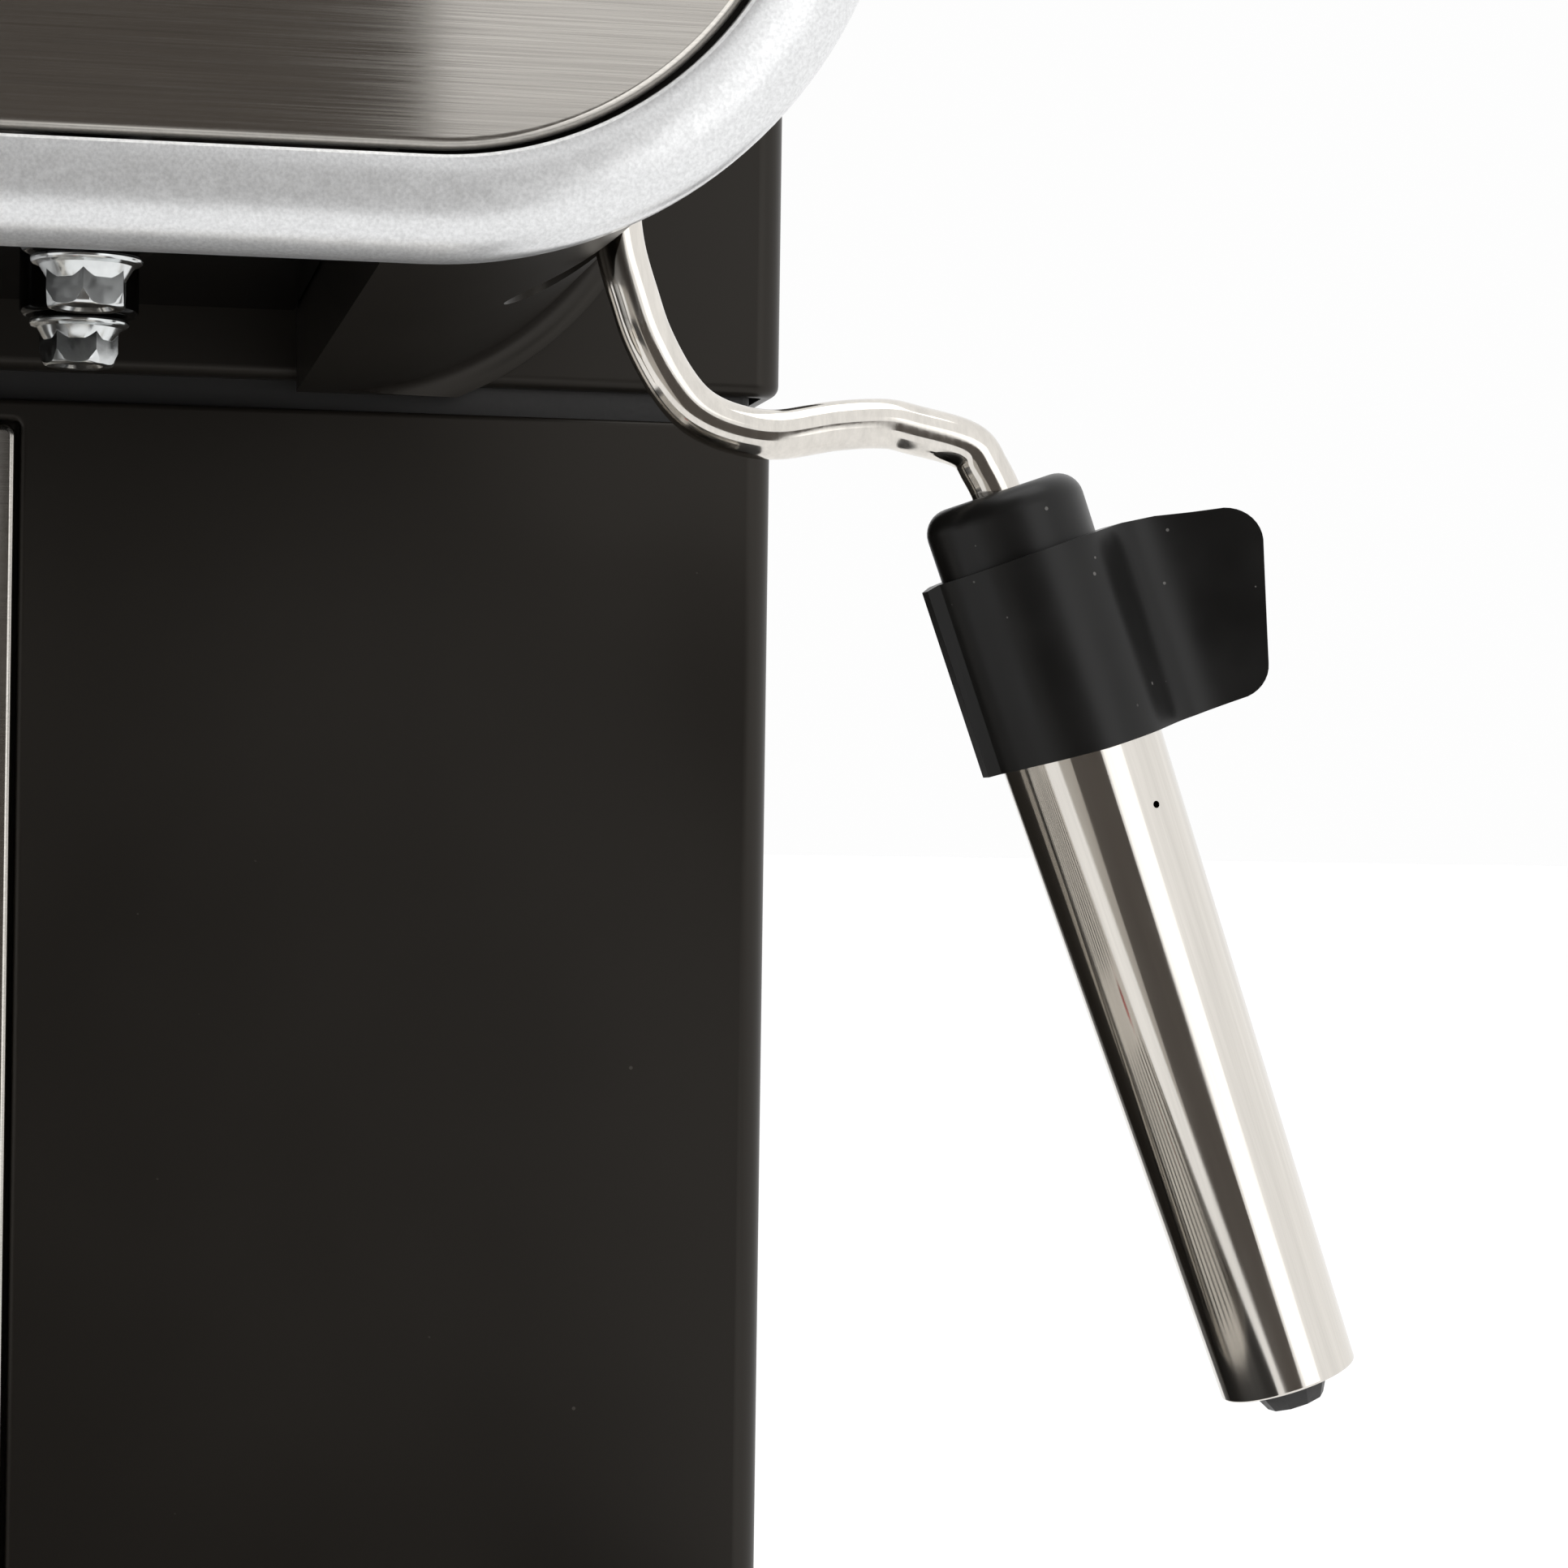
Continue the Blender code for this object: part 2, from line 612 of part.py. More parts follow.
def make_recess_plate():
    half = RECESS_HALF_WIDTH - SLIDE_GAP
    plate = add_part("recess_plate", BLACK_GLOSS,
                     prism(rectangle(-half, half, RECESS_TOP, RECESS_TOP + RECESS_SHEET),
                           front_view, HEAD_FRONT_Y, FACE_Y - TOUCH_GAP))
    for name, (x, y) in bolt_places().items():
        boss = turned([(0.0, HEAD_BOTTOM + TOUCH_GAP), (BOSS_RADIUS, HEAD_BOTTOM + TOUCH_GAP),
                       (BOSS_RADIUS, RECESS_TOP + 1.0), (0.0, RECESS_TOP + 1.0)],
                      upright(x, y), SMALL_ROUND)
        fuse(plate, "boss_" + name[11:], boss)
    neck = circle(GROUP_RADIUS - 8.0 + TOUCH_GAP, ROUND)
    cut(plate, "neck_hole",
        prism(neck, plan_view, RECESS_TOP - WALL, RECESS_TOP + RECESS_SHEET + WALL))


def make_group_bolts():
    corner = BOLT_FLATS / math.sqrt(3.0)
    top = HEAD_BOTTOM
    flange = top - 1.4
    profile = [(0.0, top), (BOLT_FLANGE_RADIUS - 0.3, top), (BOLT_FLANGE_RADIUS, top - 0.4),
               (corner + 0.2, flange), (0.0, flange)]
    for name, (x, y) in bolt_places().items():
        bolt = add_part(name, ZINC, turned(profile, upright(x, y), ROUND))
        turn = math.radians(30.0)
        hexagon = [(x + a, y + b) for a, b in circle(corner, 6, turn)]
        fuse(bolt, "hexagon", prism(hexagon, plan_view, top - BOLT_HEAD, flange + 0.3))


def make_bezel():
    depth = BEZEL_DEPTH
    section = (
        (BEZEL_RING, 0.08), (BEZEL_RING - 1.2, 0.0), (BEZEL_RING * 0.62, 0.02),
        (BEZEL_RING * 0.34, 0.13), (BEZEL_RING * 0.13, 0.34), (0.2, 0.62), (0.0, 0.80),
        (0.8, 1.0), (BEZEL_RING, 1.0),
    )
    rings = []
    for inset, share in section:
        outline = head_outline(inset - BEZEL_LIP, 6)
        rings.append([front_view(a, b, BEZEL_FRONT_Y + depth * share) for a, b in outline])
    add_part("bezel", SILVER_PAINT, rings, closed=True)


def button_places():
    first = GAUGE_RADIUS + BUTTON_MARGIN + BUTTON_RADIUS
    last = HEAD_HALF_WIDTH - BUTTON_INSET
    return {
        "power_button": first,
        "coffee_button": (first + last) / 2.0,
        "steam_button": last,
    }


def make_front_plate():
    inset = BEZEL_RING - BEZEL_LIP + TRIM_GAP
    plate = add_part("front_plate", BRUSHED_STEEL,
                     prism(head_outline(inset), front_view, PLATE_FRONT_Y, PLATE_BACK_Y))
    gauge = [(a, GAUGE_Z + b) for a, b in circle(GAUGE_RADIUS + SLIDE_GAP, ROUND)]
    cut(plate, "gauge_hole", prism(gauge, front_view, PLATE_FRONT_Y - WALL, PLATE_BACK_Y + WALL))
    for name, x in button_places().items():
        hole = [(x + a, GAUGE_Z + b) for a, b in circle(BUTTON_RADIUS + SLIDE_GAP, SMALL_ROUND)]
        cut(plate, name + "_hole",
            prism(hole, front_view, PLATE_FRONT_Y - WALL, PLATE_BACK_Y + WALL))


def make_buttons():
    front = PLATE_FRONT_Y - BUTTON_PROUD
    back = front + BUTTON_DEPTH
    radius = BUTTON_RADIUS
    profile = [(0.0, front), (radius - 1.2, front), (radius, front + 1.2), (radius, back),
               (0.0, back)]
    for name, x in button_places().items():
        add_part(name, POLISHED_STEEL, turned(profile, forward(x, GAUGE_Z), SMALL_ROUND),
                 origin=(x, front, GAUGE_Z))


def make_control_board():
    low = GAUGE_Z - 16.0
    high = GAUGE_Z + 16.0
    front = PLATE_FRONT_Y - BUTTON_PROUD + BUTTON_DEPTH + 2.6
    left = button_places()["power_button"] - 10.0
    right = button_places()["steam_button"] + 10.0
    add_part("control_board", BLACK_PLASTIC,
             prism(rectangle(left, right, low, high), front_view, front, front + 1.6))


def make_gauge():
    front = PLATE_FRONT_Y - 2.0
    back = PLATE_BACK_Y + GAUGE_DEPTH
    axis = forward(0.0, GAUGE_Z)
    outer = GAUGE_RADIUS
    inner = GAUGE_RADIUS - 1.6
    case = [(outer - 0.6, front), (outer, front + 0.6), (outer, back), (1.2, back),
            (1.2, back - 1.5), (inner, back - 1.5), (inner, front)]
    add_part("gauge_case", POLISHED_STEEL, turned(case, axis), closed=True)
    face = inner - TOUCH_GAP
    dial_front = back - 5.0
    dial = [(1.2, dial_front), (face, dial_front), (face, dial_front + 1.0),
            (1.2, dial_front + 1.0)]
    add_part("gauge_dial", WHITE_PLASTIC, turned(dial, axis), closed=True)
    lens = [(0.0, front + 1.0), (face, front + 1.0), (face, front + 2.6), (0.0, front + 2.6)]
    add_part("gauge_lens", CLEAR_PLASTIC, turned(lens, axis))
    turn = math.radians(225.0)
    tip = (NEEDLE_LENGTH * math.cos(turn), GAUGE_Z + NEEDLE_LENGTH * math.sin(turn))
    side = (1.2 * -math.sin(turn), 1.2 * math.cos(turn))
    tail = (-4.0 * math.cos(turn), GAUGE_Z - 4.0 * math.sin(turn))
    blade = [tip, (tail[0] + side[0], tail[1] + side[1]), (tail[0] - side[0], tail[1] - side[1])]
    needle = add_part("gauge_needle", RED_PLASTIC,
                      prism(blade, front_view, dial_front - 1.6, dial_front - 0.8),
                      origin=(0.0, dial_front, GAUGE_Z))
    pin = [(0.0, dial_front - 2.2), (0.9, dial_front - 2.2), (0.9, back - 2.0), (0.0, back - 2.0)]
    fuse(needle, "pin", turned(pin, axis, 12))


# ---------------------------------------------------------------- brewing group

def make_group():
    top = RECESS_TOP - TOUCH_GAP
    roof = GROUP_BOTTOM + 16.5
    lip_top = GROUP_BOTTOM + LOCK_LIP
    lip = LOCK_RADIUS
    groove = LOCK_RADIUS + LOCK_GROOVE
    neck = GROUP_RADIUS - 8.0
    profile = [
        (0.0, top + RECESS_SHEET + 2.0), (neck, top + RECESS_SHEET + 2.0), (neck, top),
        (GROUP_RADIUS, top), (GROUP_RADIUS, GROUP_BOTTOM + 1.0), (GROUP_RADIUS - 1.0, GROUP_BOTTOM),
        (lip, GROUP_BOTTOM), (lip, lip_top), (groove, lip_top), (groove, roof), (0.0, roof),
    ]
    collar = add_part("group_collar", ALUMINIUM, turned(profile, upright(0.0, 0.0)))
    for side, name in ((-1.0, "left"), (1.0, "right")):
        notch = wedge(side * 90.0 + 45.0, 22.0, lip - 2.0, groove, GROUP_BOTTOM - 1.0,
                      lip_top + 1.0)
        cut(collar, "notch_" + name, notch)


def wedge(middle, half_angle, inner, outer, low, high, steps=5):
    """A block between two radii around the group's axis."""
    turns = [math.radians(middle - half_angle + 2.0 * half_angle * step / steps)
             for step in range(steps + 1)]
    outline = [(outer * math.cos(turn), outer * math.sin(turn)) for turn in turns]
    outline += [(inner * math.cos(turn), inner * math.sin(turn)) for turn in reversed(turns)]
    return prism(outline, plan_view, low, high)


def make_group_seals():
    roof = GROUP_BOTTOM + 16.5 - TOUCH_GAP
    outer = CUP_RADIUS - TOUCH_GAP
    inner = SCREEN_RADIUS + SLIDE_GAP
    bottom = roof - 6.0
    gasket = [(inner, bottom), (outer, bottom), (outer, roof), (inner, roof)]
    add_part("group_gasket", BLACK_RUBBER, turned(gasket, upright(0.0, 0.0)), closed=True)
    screen = [(0.0, roof), (SCREEN_RADIUS, roof), (SCREEN_RADIUS, roof - 3.0),
              (SCREEN_RADIUS - 1.0, roof - 3.6), (0.0, roof - 3.6)]
    part = add_part("shower_screen", POLISHED_STEEL, turned(screen, upright(0.0, 0.0)))
    under = roof - 3.6
    screw = [(0.0, under + 0.5), (4.0, under + 0.5), (4.0, under - 1.2), (3.0, under - 1.8),
             (0.0, under - 1.8)]
    fuse(part, "screw", turned(screw, upright(0.0, 0.0), SMALL_ROUND))


def cup_top():
    gasket_bottom = GROUP_BOTTOM + 16.5 - TOUCH_GAP - 6.0
    return gasket_bottom - TOUCH_GAP - 1.2


def handle_z():
    return GROUP_BOTTOM - 10.5


def handle_root():
    return -CUP_RADIUS - ARM_LENGTH - TOUCH_GAP


def make_portafilter():
    top = cup_top()
    bottom = top - CUP_HEIGHT
    floor = bottom + 3.0
    inner = CUP_RADIUS - CUP_WALL
    profile = [
        (3.0, bottom), (CUP_RADIUS - 5.0, bottom), (CUP_RADIUS, bottom + 5.0), (CUP_RADIUS, top),
        (inner, top), (inner, floor + 2.0), (inner - 3.0, floor), (3.0, floor),
    ]
    cup = add_part("portafilter_cup", POLISHED_STEEL, turned(profile, upright(0.0, 0.0)),
                   closed=True)
    ear_low = GROUP_BOTTOM + LOCK_LIP + TOUCH_GAP
    for side, name in ((0.0, "right"), (180.0, "left")):
        ear = wedge(side, 18.0, CUP_RADIUS - 1.0, CUP_RADIUS + 2.4, ear_low, ear_low + 2.2)
        fuse(cup, "ear_" + name, ear)
    root = -CUP_RADIUS
    end = handle_root() + TOUCH_GAP
    arm = [(0.0, end), (8.6, end), (9.4, end + 1.0), (9.4, end + FERRULE), (6.4, end + FERRULE),
           (7.5, root + 1.0), (0.0, root + 1.0)]
    fuse(cup, "arm", turned(arm, forward(0.0, handle_z()), SMALL_ROUND))


def make_filter_basket():
    top = cup_top() + TOUCH_GAP + 0.6
    outer = CUP_RADIUS - CUP_WALL - TOUCH_GAP
    inner = outer - 0.8
    low = cup_top() - CUP_HEIGHT + 3.0 + 2.4
    rim = CUP_RADIUS - 0.4
    under = cup_top() + TOUCH_GAP
    profile = [(0.0, low), (outer - 3.0, low), (outer, low + 3.0), (outer, under), (rim, under),
               (rim, top), (inner, top), (inner, low + 3.4), (inner - 2.6, low + 0.8),
               (0.0, low + 0.8)]
    add_part("filter_basket", POLISHED_STEEL, turned(profile, upright(0.0, 0.0)))


def make_handle():
    start = handle_root()
    end = start - HANDLE_LENGTH
    length = HANDLE_LENGTH
    radius = HANDLE_RADIUS
    profile = [(0.0, start), (radius * 0.74, start), (radius * 0.86, start - length * 0.12),
               (radius * 0.88, start - length * 0.35), (radius, start - length * 0.72),
               (radius * 0.97, start - length * 0.90), (radius * 0.72, start - length * 0.98),
               (0.0, end)]
    add_part("portafilter_handle", BLACK_PLASTIC, turned(profile, forward(0.0, handle_z()), ROUND))


def make_spout():
    top = cup_top() - CUP_HEIGHT - TOUCH_GAP
    hub = [(0.0, top), (9.0, top), (9.0, top - 5.0), (5.0, top - 9.0), (0.0, top - 9.0)]
    spout = add_part("portafilter_spout", POLISHED_STEEL, turned(hub, upright(0.0, 0.0), ROUND))
    bend = [(-14.0, 0.0, top - 20.0), (-13.0, 0.0, top - 14.0), (-9.0, 0.0, top - 9.5),
            (0.0, 0.0, top - 7.5), (9.0, 0.0, top - 9.5), (13.0, 0.0, top - 14.0),
            (14.0, 0.0, top - 20.0)]
    fuse(spout, "outlets", swept(bend, 4.2, 12))


# ---------------------------------------------------------------- boiler, pump and pipes

def boiler_floor():
    return RECESS_TOP + RECESS_SHEET + 3.0


def make_boiler():
    low = boiler_floor()
    seam = low + BOILER_BASE_HEIGHT
    top = HEAD_TOP - HEAD_WALL - BOILER_HEADROOM
    outer = BOILER_RADIUS
    inner = BOILER_RADIUS - BOILER_WALL
    base = [(0.0, low), (outer, low), (outer, seam - 4.0), (outer + 6.0, seam - 4.0),
            (outer + 6.0, seam), (inner, seam), (inner, low + 4.0), (0.0, low + 4.0)]
    add_part("boiler_base", ALUMINIUM, turned(base, upright(0.0, 0.0), ROUND))
    start = seam + TOUCH_GAP
    dome = [(0.0, start), (outer + 6.0, start), (outer + 6.0, start + 4.0),
            (outer, start + 4.0), (outer, top - 10.0), (outer - 9.0, top), (0.0, top)]
    shell = add_part("boiler_dome", ALUMINIUM, turned(dome, upright(0.0, 0.0), ROUND))
    hollow = [(0.0, start - 1.0), (inner, start - 1.0), (inner, top - 12.0),
              (inner - 9.0, top - 3.0), (0.0, top - 3.0)]
    cut(shell, "hollow", turned(hollow, upright(0.0, 0.0), ROUND))
    turns = [math.radians(30.0 + 300.0 * step / 16.0) for step in range(17)]
    coil = [(22.0 * math.cos(turn), 22.0 * math.sin(turn), seam - 6.0) for turn in turns]
    add_part("heating_element", ZINC, swept(coil, 3.2, 8))
    cap = top + TOUCH_GAP
    sensor = [(0.0, cap), (8.0, cap), (8.0, cap + 5.0), (3.0, cap + 5.0), (3.0, cap + 9.0),
              (0.0, cap + 9.0)]
    add_part("thermostat", BLACK_PLASTIC, turned(sensor, upright(0.0, 0.0), SMALL_ROUND))


def pump_axis():
    return (FACE_Y + BODY_DEPTH * 0.5, BASE_TOP + 40.0)


def make_pump():
    y, z = pump_axis()
    start = -PUMP_LENGTH / 2.0
    end = PUMP_LENGTH / 2.0
    radius = PUMP_RADIUS
    body = [(0.0, start - 8.0), (4.0, start - 8.0), (4.0, start), (radius * 0.6, start),
            (radius * 0.6, start + 18.0), (radius, start + 18.0), (radius, end - 18.0),
            (radius * 0.6, end - 18.0), (radius * 0.6, end), (4.0, end), (4.0, end + 8.0),
            (0.0, end + 8.0)]
    add_part("pump", BLACK_PLASTIC, turned(body, sideways(y, z), ROUND))
    reach = radius + 4.0
    bracket = add_part("pump_bracket", ALUMINIUM,
                       prism(rectangle(y - reach, y + reach, BASE_TOP + TOUCH_GAP, z + reach),
                             side_view, -6.0, 6.0))
    bore = [(y + a, z + b) for a, b in circle(radius + TOUCH_GAP, ROUND)]
    cut(bracket, "bore", prism(bore, side_view, -9.0, 9.0))


def make_hoses():
    y, z = pump_axis()
    inlet = -PUMP_LENGTH / 2.0 - 8.0 - TOUCH_GAP
    route = [(inlet, y, z), (inlet - 5.0, y, z), (inlet - 11.0, y, z - 1.0), (inlet - 18.0, y, z - 8.0),
             (inlet - 18.0, y, BASE_TOP + 8.0)]
    add_part("suction_hose", SILICONE, swept(smooth_route(route, 2), HOSE_RADIUS, 8))
    outlet = -inlet
    height = boiler_floor() + 36.0
    rise = [(outlet, y, z), (outlet + 6.0, y, z), (outlet + 13.0, y, z + 2.0), (outlet + 20.0, y, z + 10.0),
            (outlet + 20.0, y, z + 60.0), (outlet + 12.0, y, COLUMN_TOP - 20.0),
            (outlet - 10.0, y - 6.0, height - 4.0), (outlet - 26.0, y - 30.0, height + 8.0),
            (BOILER_RADIUS * 0.5, BOILER_RADIUS + 18.0, height + 6.0),
            (8.0, BOILER_RADIUS + HOSE_RADIUS + 6.0, height - 1.0)]
    add_part("pressure_hose", SILICONE, swept(smooth_route(rise, 2), HOSE_RADIUS, 8))


def make_steam_valve():
    low = BALL_Z + 6.0
    high = HEAD_TOP - HEAD_WALL - 10.0
    block = rectangle(KNOB_X - 9.0, KNOB_X + 9.0, WAND_Y - 9.0, WAND_Y + 9.0)
    add_part("steam_valve", BRASS, prism(block, plan_view, low, high))
    stem_low = high + TOUCH_GAP
    stem_high = HEAD_TOP + 12.0
    stem = [(0.0, stem_low), (STEM_RADIUS, stem_low), (STEM_RADIUS, stem_high), (0.0, stem_high)]
    add_part("steam_stem", BRASS, turned(stem, upright(KNOB_X, WAND_Y), SMALL_ROUND),
             origin=(KNOB_X, WAND_Y, stem_low))
    knob_low = HEAD_TOP + TOUCH_GAP + 3.0
    top = knob_low + KNOB_HEIGHT
    bore = STEM_RADIUS + TOUCH_GAP
    profile = [(0.0, knob_low), (KNOB_RADIUS - 1.0, knob_low), (KNOB_RADIUS, knob_low + 1.5),
               (KNOB_RADIUS * 0.94, top - 2.5), (KNOB_RADIUS * 0.80, top), (0.0, top)]
    knob = add_part("steam_knob", BLACK_PLASTIC, turned(profile, upright(KNOB_X, WAND_Y)),
                    origin=(KNOB_X, WAND_Y, knob_low))
    socket = [(0.0, knob_low - 1.0), (bore, knob_low - 1.0), (bore, stem_high + TOUCH_GAP),
              (0.0, stem_high + TOUCH_GAP)]
    cut(knob, "socket", turned(socket, upright(KNOB_X, WAND_Y), SMALL_ROUND))


def make_steam_pipe():
    start = KNOB_X + 9.0 + TOUCH_GAP
    level = BALL_Z + 20.0
    route = [(start, WAND_Y, level), (start + 10.0, WAND_Y, level),
             (WAND_X - 8.0, WAND_Y, level + 1.0), (WAND_X, WAND_Y, level - 4.0),
             (WAND_X, WAND_Y, BALL_Z + BALL_RADIUS + 2.0 + TOUCH_GAP)]
    add_part("steam_pipe", BRASS, swept(smooth_route(route, 2), 2.0, 8))


# ---------------------------------------------------------------- steam wand

def make_ball_joint():
    gap = SLIDE_GAP
    seat = BALL_RADIUS + gap
    low = BALL_Z - 4.0
    high = BALL_Z + BALL_RADIUS + 2.0
    socket = add_part("ball_socket", BRASS,
                      turned([(0.0, high), (BALL_RADIUS + 3.0, high), (BALL_RADIUS + 3.0, low),
                              (0.0, low)], upright(WAND_X, WAND_Y), ROUND))
    hollow = ball_profile(seat)
    cut(socket, "seat", turned(hollow, upright(WAND_X, WAND_Y), ROUND))
    bore = TUBE_RADIUS + TOUCH_GAP
    ball = add_part("steam_ball", POLISHED_STEEL,
                    turned(ball_profile(BALL_RADIUS), upright(WAND_X, WAND_Y), ROUND),
                    origin=(WAND_X, WAND_Y, BALL_Z))
    drill = [(0.0, BALL_Z - 2.0 * BALL_RADIUS), (bore, BALL_Z - 2.0 * BALL_RADIUS),
             (bore, BALL_Z + 2.0 * BALL_RADIUS), (0.0, BALL_Z + 2.0 * BALL_RADIUS)]
    cut(ball, "bore", turned(drill, upright(WAND_X, WAND_Y), SMALL_ROUND))


def ball_profile(radius):
    turns = [math.radians(-90.0 + 30.0 * step) for step in range(7)]
    profile = [(radius * math.cos(turn), BALL_Z + radius * math.sin(turn)) for turn in turns]
    profile[0] = (0.0, BALL_Z - radius)
    profile[-1] = (0.0, BALL_Z + radius)
    return profile


def make_wand_tube():
    start = BALL_Z + BALL_RADIUS * 0.6
    bend = [(0.0, start - HEAD_BOTTOM), (0.2, 31.0), (0.6, 19.0), (1.4, 11.0), (3.4, 4.2),
            (5.1, -0.4), (8.0, -5.5), (11.2, -8.9), (15.6, -10.8), (21.0, -11.4),
            (28.2, -10.1), (34.3, -9.6), (38.0, -10.2)]
    route = [(WAND_X + x, WAND_Y, HEAD_BOTTOM + z) for x, z in bend]
    hand_over = [(-1.9, -6.6), (-0.6, -3.0)]
    route += [on_wand(across, 0.0, down) for across, down in hand_over]
    route += [on_wand(0.0, 0.0, down) for down in (2.0, 12.0, 40.0, SLEEVE_END - 6.0)]
    add_part("wand_tube", POLISHED_STEEL, swept(route, TUBE_RADIUS, 12),
             origin=(WAND_X, WAND_Y, BALL_Z))


def make_grip():
    top = GRIP_COLLAR_LENGTH
    grip = add_part("wand_grip", BLACK_RUBBER,
                    prism(circle(GRIP_RADIUS, ROUND), on_wand, top, GRIP_LENGTH),
                    origin=(WAND_X, WAND_Y, BALL_Z))
    collar = [(0.0, 0.0), (GRIP_COLLAR_RADIUS - 3.0, 0.0), (GRIP_COLLAR_RADIUS, 3.0),
              (GRIP_COLLAR_RADIUS, top + 1.0), (0.0, top + 1.0)]
    fuse(grip, "collar", turned(collar, on_wand, ROUND))
    tab = [(0.0, top), (TAB_REACH - 8.0, top + 0.6), (TAB_REACH - 3.0, top + 2.1),
           (TAB_REACH, top + 4.7), (TAB_REACH - 3.6, GRIP_LENGTH - 2.2),
           (TAB_REACH - 6.4, GRIP_LENGTH), (0.0, GRIP_LENGTH)]
    rings = [[on_wand(a, b, h) for a, h in tab] for b in (-TAB_FRONT, TAB_THICKNESS - TAB_FRONT)]
    fuse(grip, "tab", rings)
    bore = TUBE_RADIUS + TOUCH_GAP
    pocket = SLEEVE_TOP_RADIUS + TOUCH_GAP
    seat = GRIP_LENGTH - SLEEVE_SEAT - TOUCH_GAP
    drill = [(0.0, -2.0), (bore, -2.0), (bore, seat), (pocket, seat),
             (pocket, GRIP_LENGTH + 2.0), (0.0, GRIP_LENGTH + 2.0)]
    cut(grip, "bore", turned(drill, on_wand, ROUND))


def make_sleeve():
    start = GRIP_LENGTH - SLEEVE_SEAT
    end = SLEEVE_END
    wall = SLEEVE_WALL
    profile = [
        (TUBE_RADIUS + SLIDE_GAP, start), (SLEEVE_TOP_RADIUS, start), (SLEEVE_END_RADIUS, end - 0.8),
        (SLEEVE_END_RADIUS - 0.5, end), (SLEEVE_END_RADIUS - wall, end),
        (SLEEVE_TOP_RADIUS - wall, start + 1.2), (TUBE_RADIUS + SLIDE_GAP, start + 1.2),
    ]
    sleeve = add_part("froth_sleeve", POLISHED_STEEL, turned(profile, on_wand, ROUND),
                      closed=True, origin=on_wand(0.0, 0.0, start))
    height = GRIP_LENGTH + 8.3
    hole = [[on_wand(4.3 + a, depth, height + b) for a, b in circle(0.45, 8)]
            for depth in (-SLEEVE_TOP_RADIUS - 1.0, -SLEEVE_TOP_RADIUS * 0.5)]
    cut(sleeve, "air_hole", hole)


def make_nozzle():
    end = SLEEVE_END + NOZZLE_PROUD
    start = end - NOZZLE_LENGTH
    radius = NOZZLE_RADIUS
    profile = [(0.0, start), (radius, start), (radius, end - NOZZLE_PROUD + 0.4),
               (radius - 1.2, end), (0.0, end)]
    nozzle = add_part("nozzle_tip", BLACK_PLASTIC, turned(profile, on_wand, 12),
                      origin=(WAND_X, WAND_Y, BALL_Z))
    seat = SLEEVE_END - 6.0 + TOUCH_GAP
    bore = TUBE_RADIUS + TOUCH_GAP
    drill = [(0.0, start - 1.0), (bore, start - 1.0), (bore, seat), (0.8, seat), (0.8, end + 1.0),
             (0.0, end + 1.0)]
    cut(nozzle, "bore", turned(drill, on_wand, 12))


# ---------------------------------------------------------------- water tank

def tank_middle_y():
    return BODY_BACK_Y + SLIDE_GAP + TANK_DEPTH / 2.0 + 1.5


def tank_outline(inset=0.0):
    middle = tank_middle_y()
    half = TANK_DEPTH / 2.0
    return rounded_rectangle(-TANK_HALF_WIDTH + inset, TANK_HALF_WIDTH - inset,
                             middle - half + inset, middle + half - inset,
                             TANK_CORNER - inset, 4)


def make_tank():
    low = BASE_TOP + TOUCH_GAP
    high = low + TANK_HEIGHT
    middle = tank_middle_y()
    tank = add_part("water_tank", CLEAR_PLASTIC, prism(tank_outline(), plan_view, low, high),
                    origin=(0.0, middle, low))
    cut(tank, "hollow",
        prism(tank_outline(TANK_WALL), plan_view, low + TANK_WALL, high + TANK_WALL))
    hole = [(a, middle + b) for a, b in circle(VALVE_RADIUS - 2.0 + TOUCH_GAP, SMALL_ROUND)]
    cut(tank, "valve_hole", prism(hole, plan_view, low - 1.0, low + 2.0 * TANK_WALL))
    neck = VALVE_RADIUS - 2.0
    valve_top = low + TANK_WALL + TOUCH_GAP
    profile = [(0.0, BASE_TOP - WALL), (neck - 1.0, BASE_TOP - WALL), (neck, BASE_TOP - 1.0),
               (neck, valve_top), (VALVE_RADIUS, valve_top), (VALVE_RADIUS, valve_top + 4.0),
               (0.0, valve_top + 4.0)]
    add_part("tank_valve", BLACK_PLASTIC, turned(profile, upright(0.0, middle), SMALL_ROUND),
             origin=(0.0, middle, low))


def make_tank_lid():
    low = BASE_TOP + 2.0 * TOUCH_GAP + TANK_HEIGHT
    middle = tank_middle_y()
    hinge_y = middle + TANK_DEPTH / 2.0
    lid = add_part("tank_lid", BLACK_PLASTIC,
                   prism(tank_outline(), plan_view, low, low + LID_THICKNESS),
                   origin=(0.0, hinge_y, low))
    finger = [(a, middle - TANK_DEPTH / 2.0 + b) for a, b in circle(9.0, SMALL_ROUND)]
    cut(lid, "finger_notch", prism(finger, plan_view, low - 1.0, low + LID_THICKNESS + 1.0))


# ---------------------------------------------------------------- assembly

def clear_scene():
    for existing in list(bpy.data.objects):
        bpy.data.objects.remove(existing)


def stand_on_origin():
    """Moves everything so that the origin is the middle of the whole box's underside."""
    graph = bpy.context.evaluated_depsgraph_get()
    corners = []
    for part in bpy.data.objects:
        if not part.hide_render:
            shape = part.evaluated_get(graph)
            corners += [shape.matrix_world @ Vector(corner) for corner in shape.bound_box]
    middle = [(min(c[axis] for c in corners) + max(c[axis] for c in corners)) / 2.0
              for axis in (0, 1)]
    lowest = min(corner.z for corner in corners)
    for part in bpy.data.objects:
        part.location -= Vector((middle[0], middle[1], lowest))


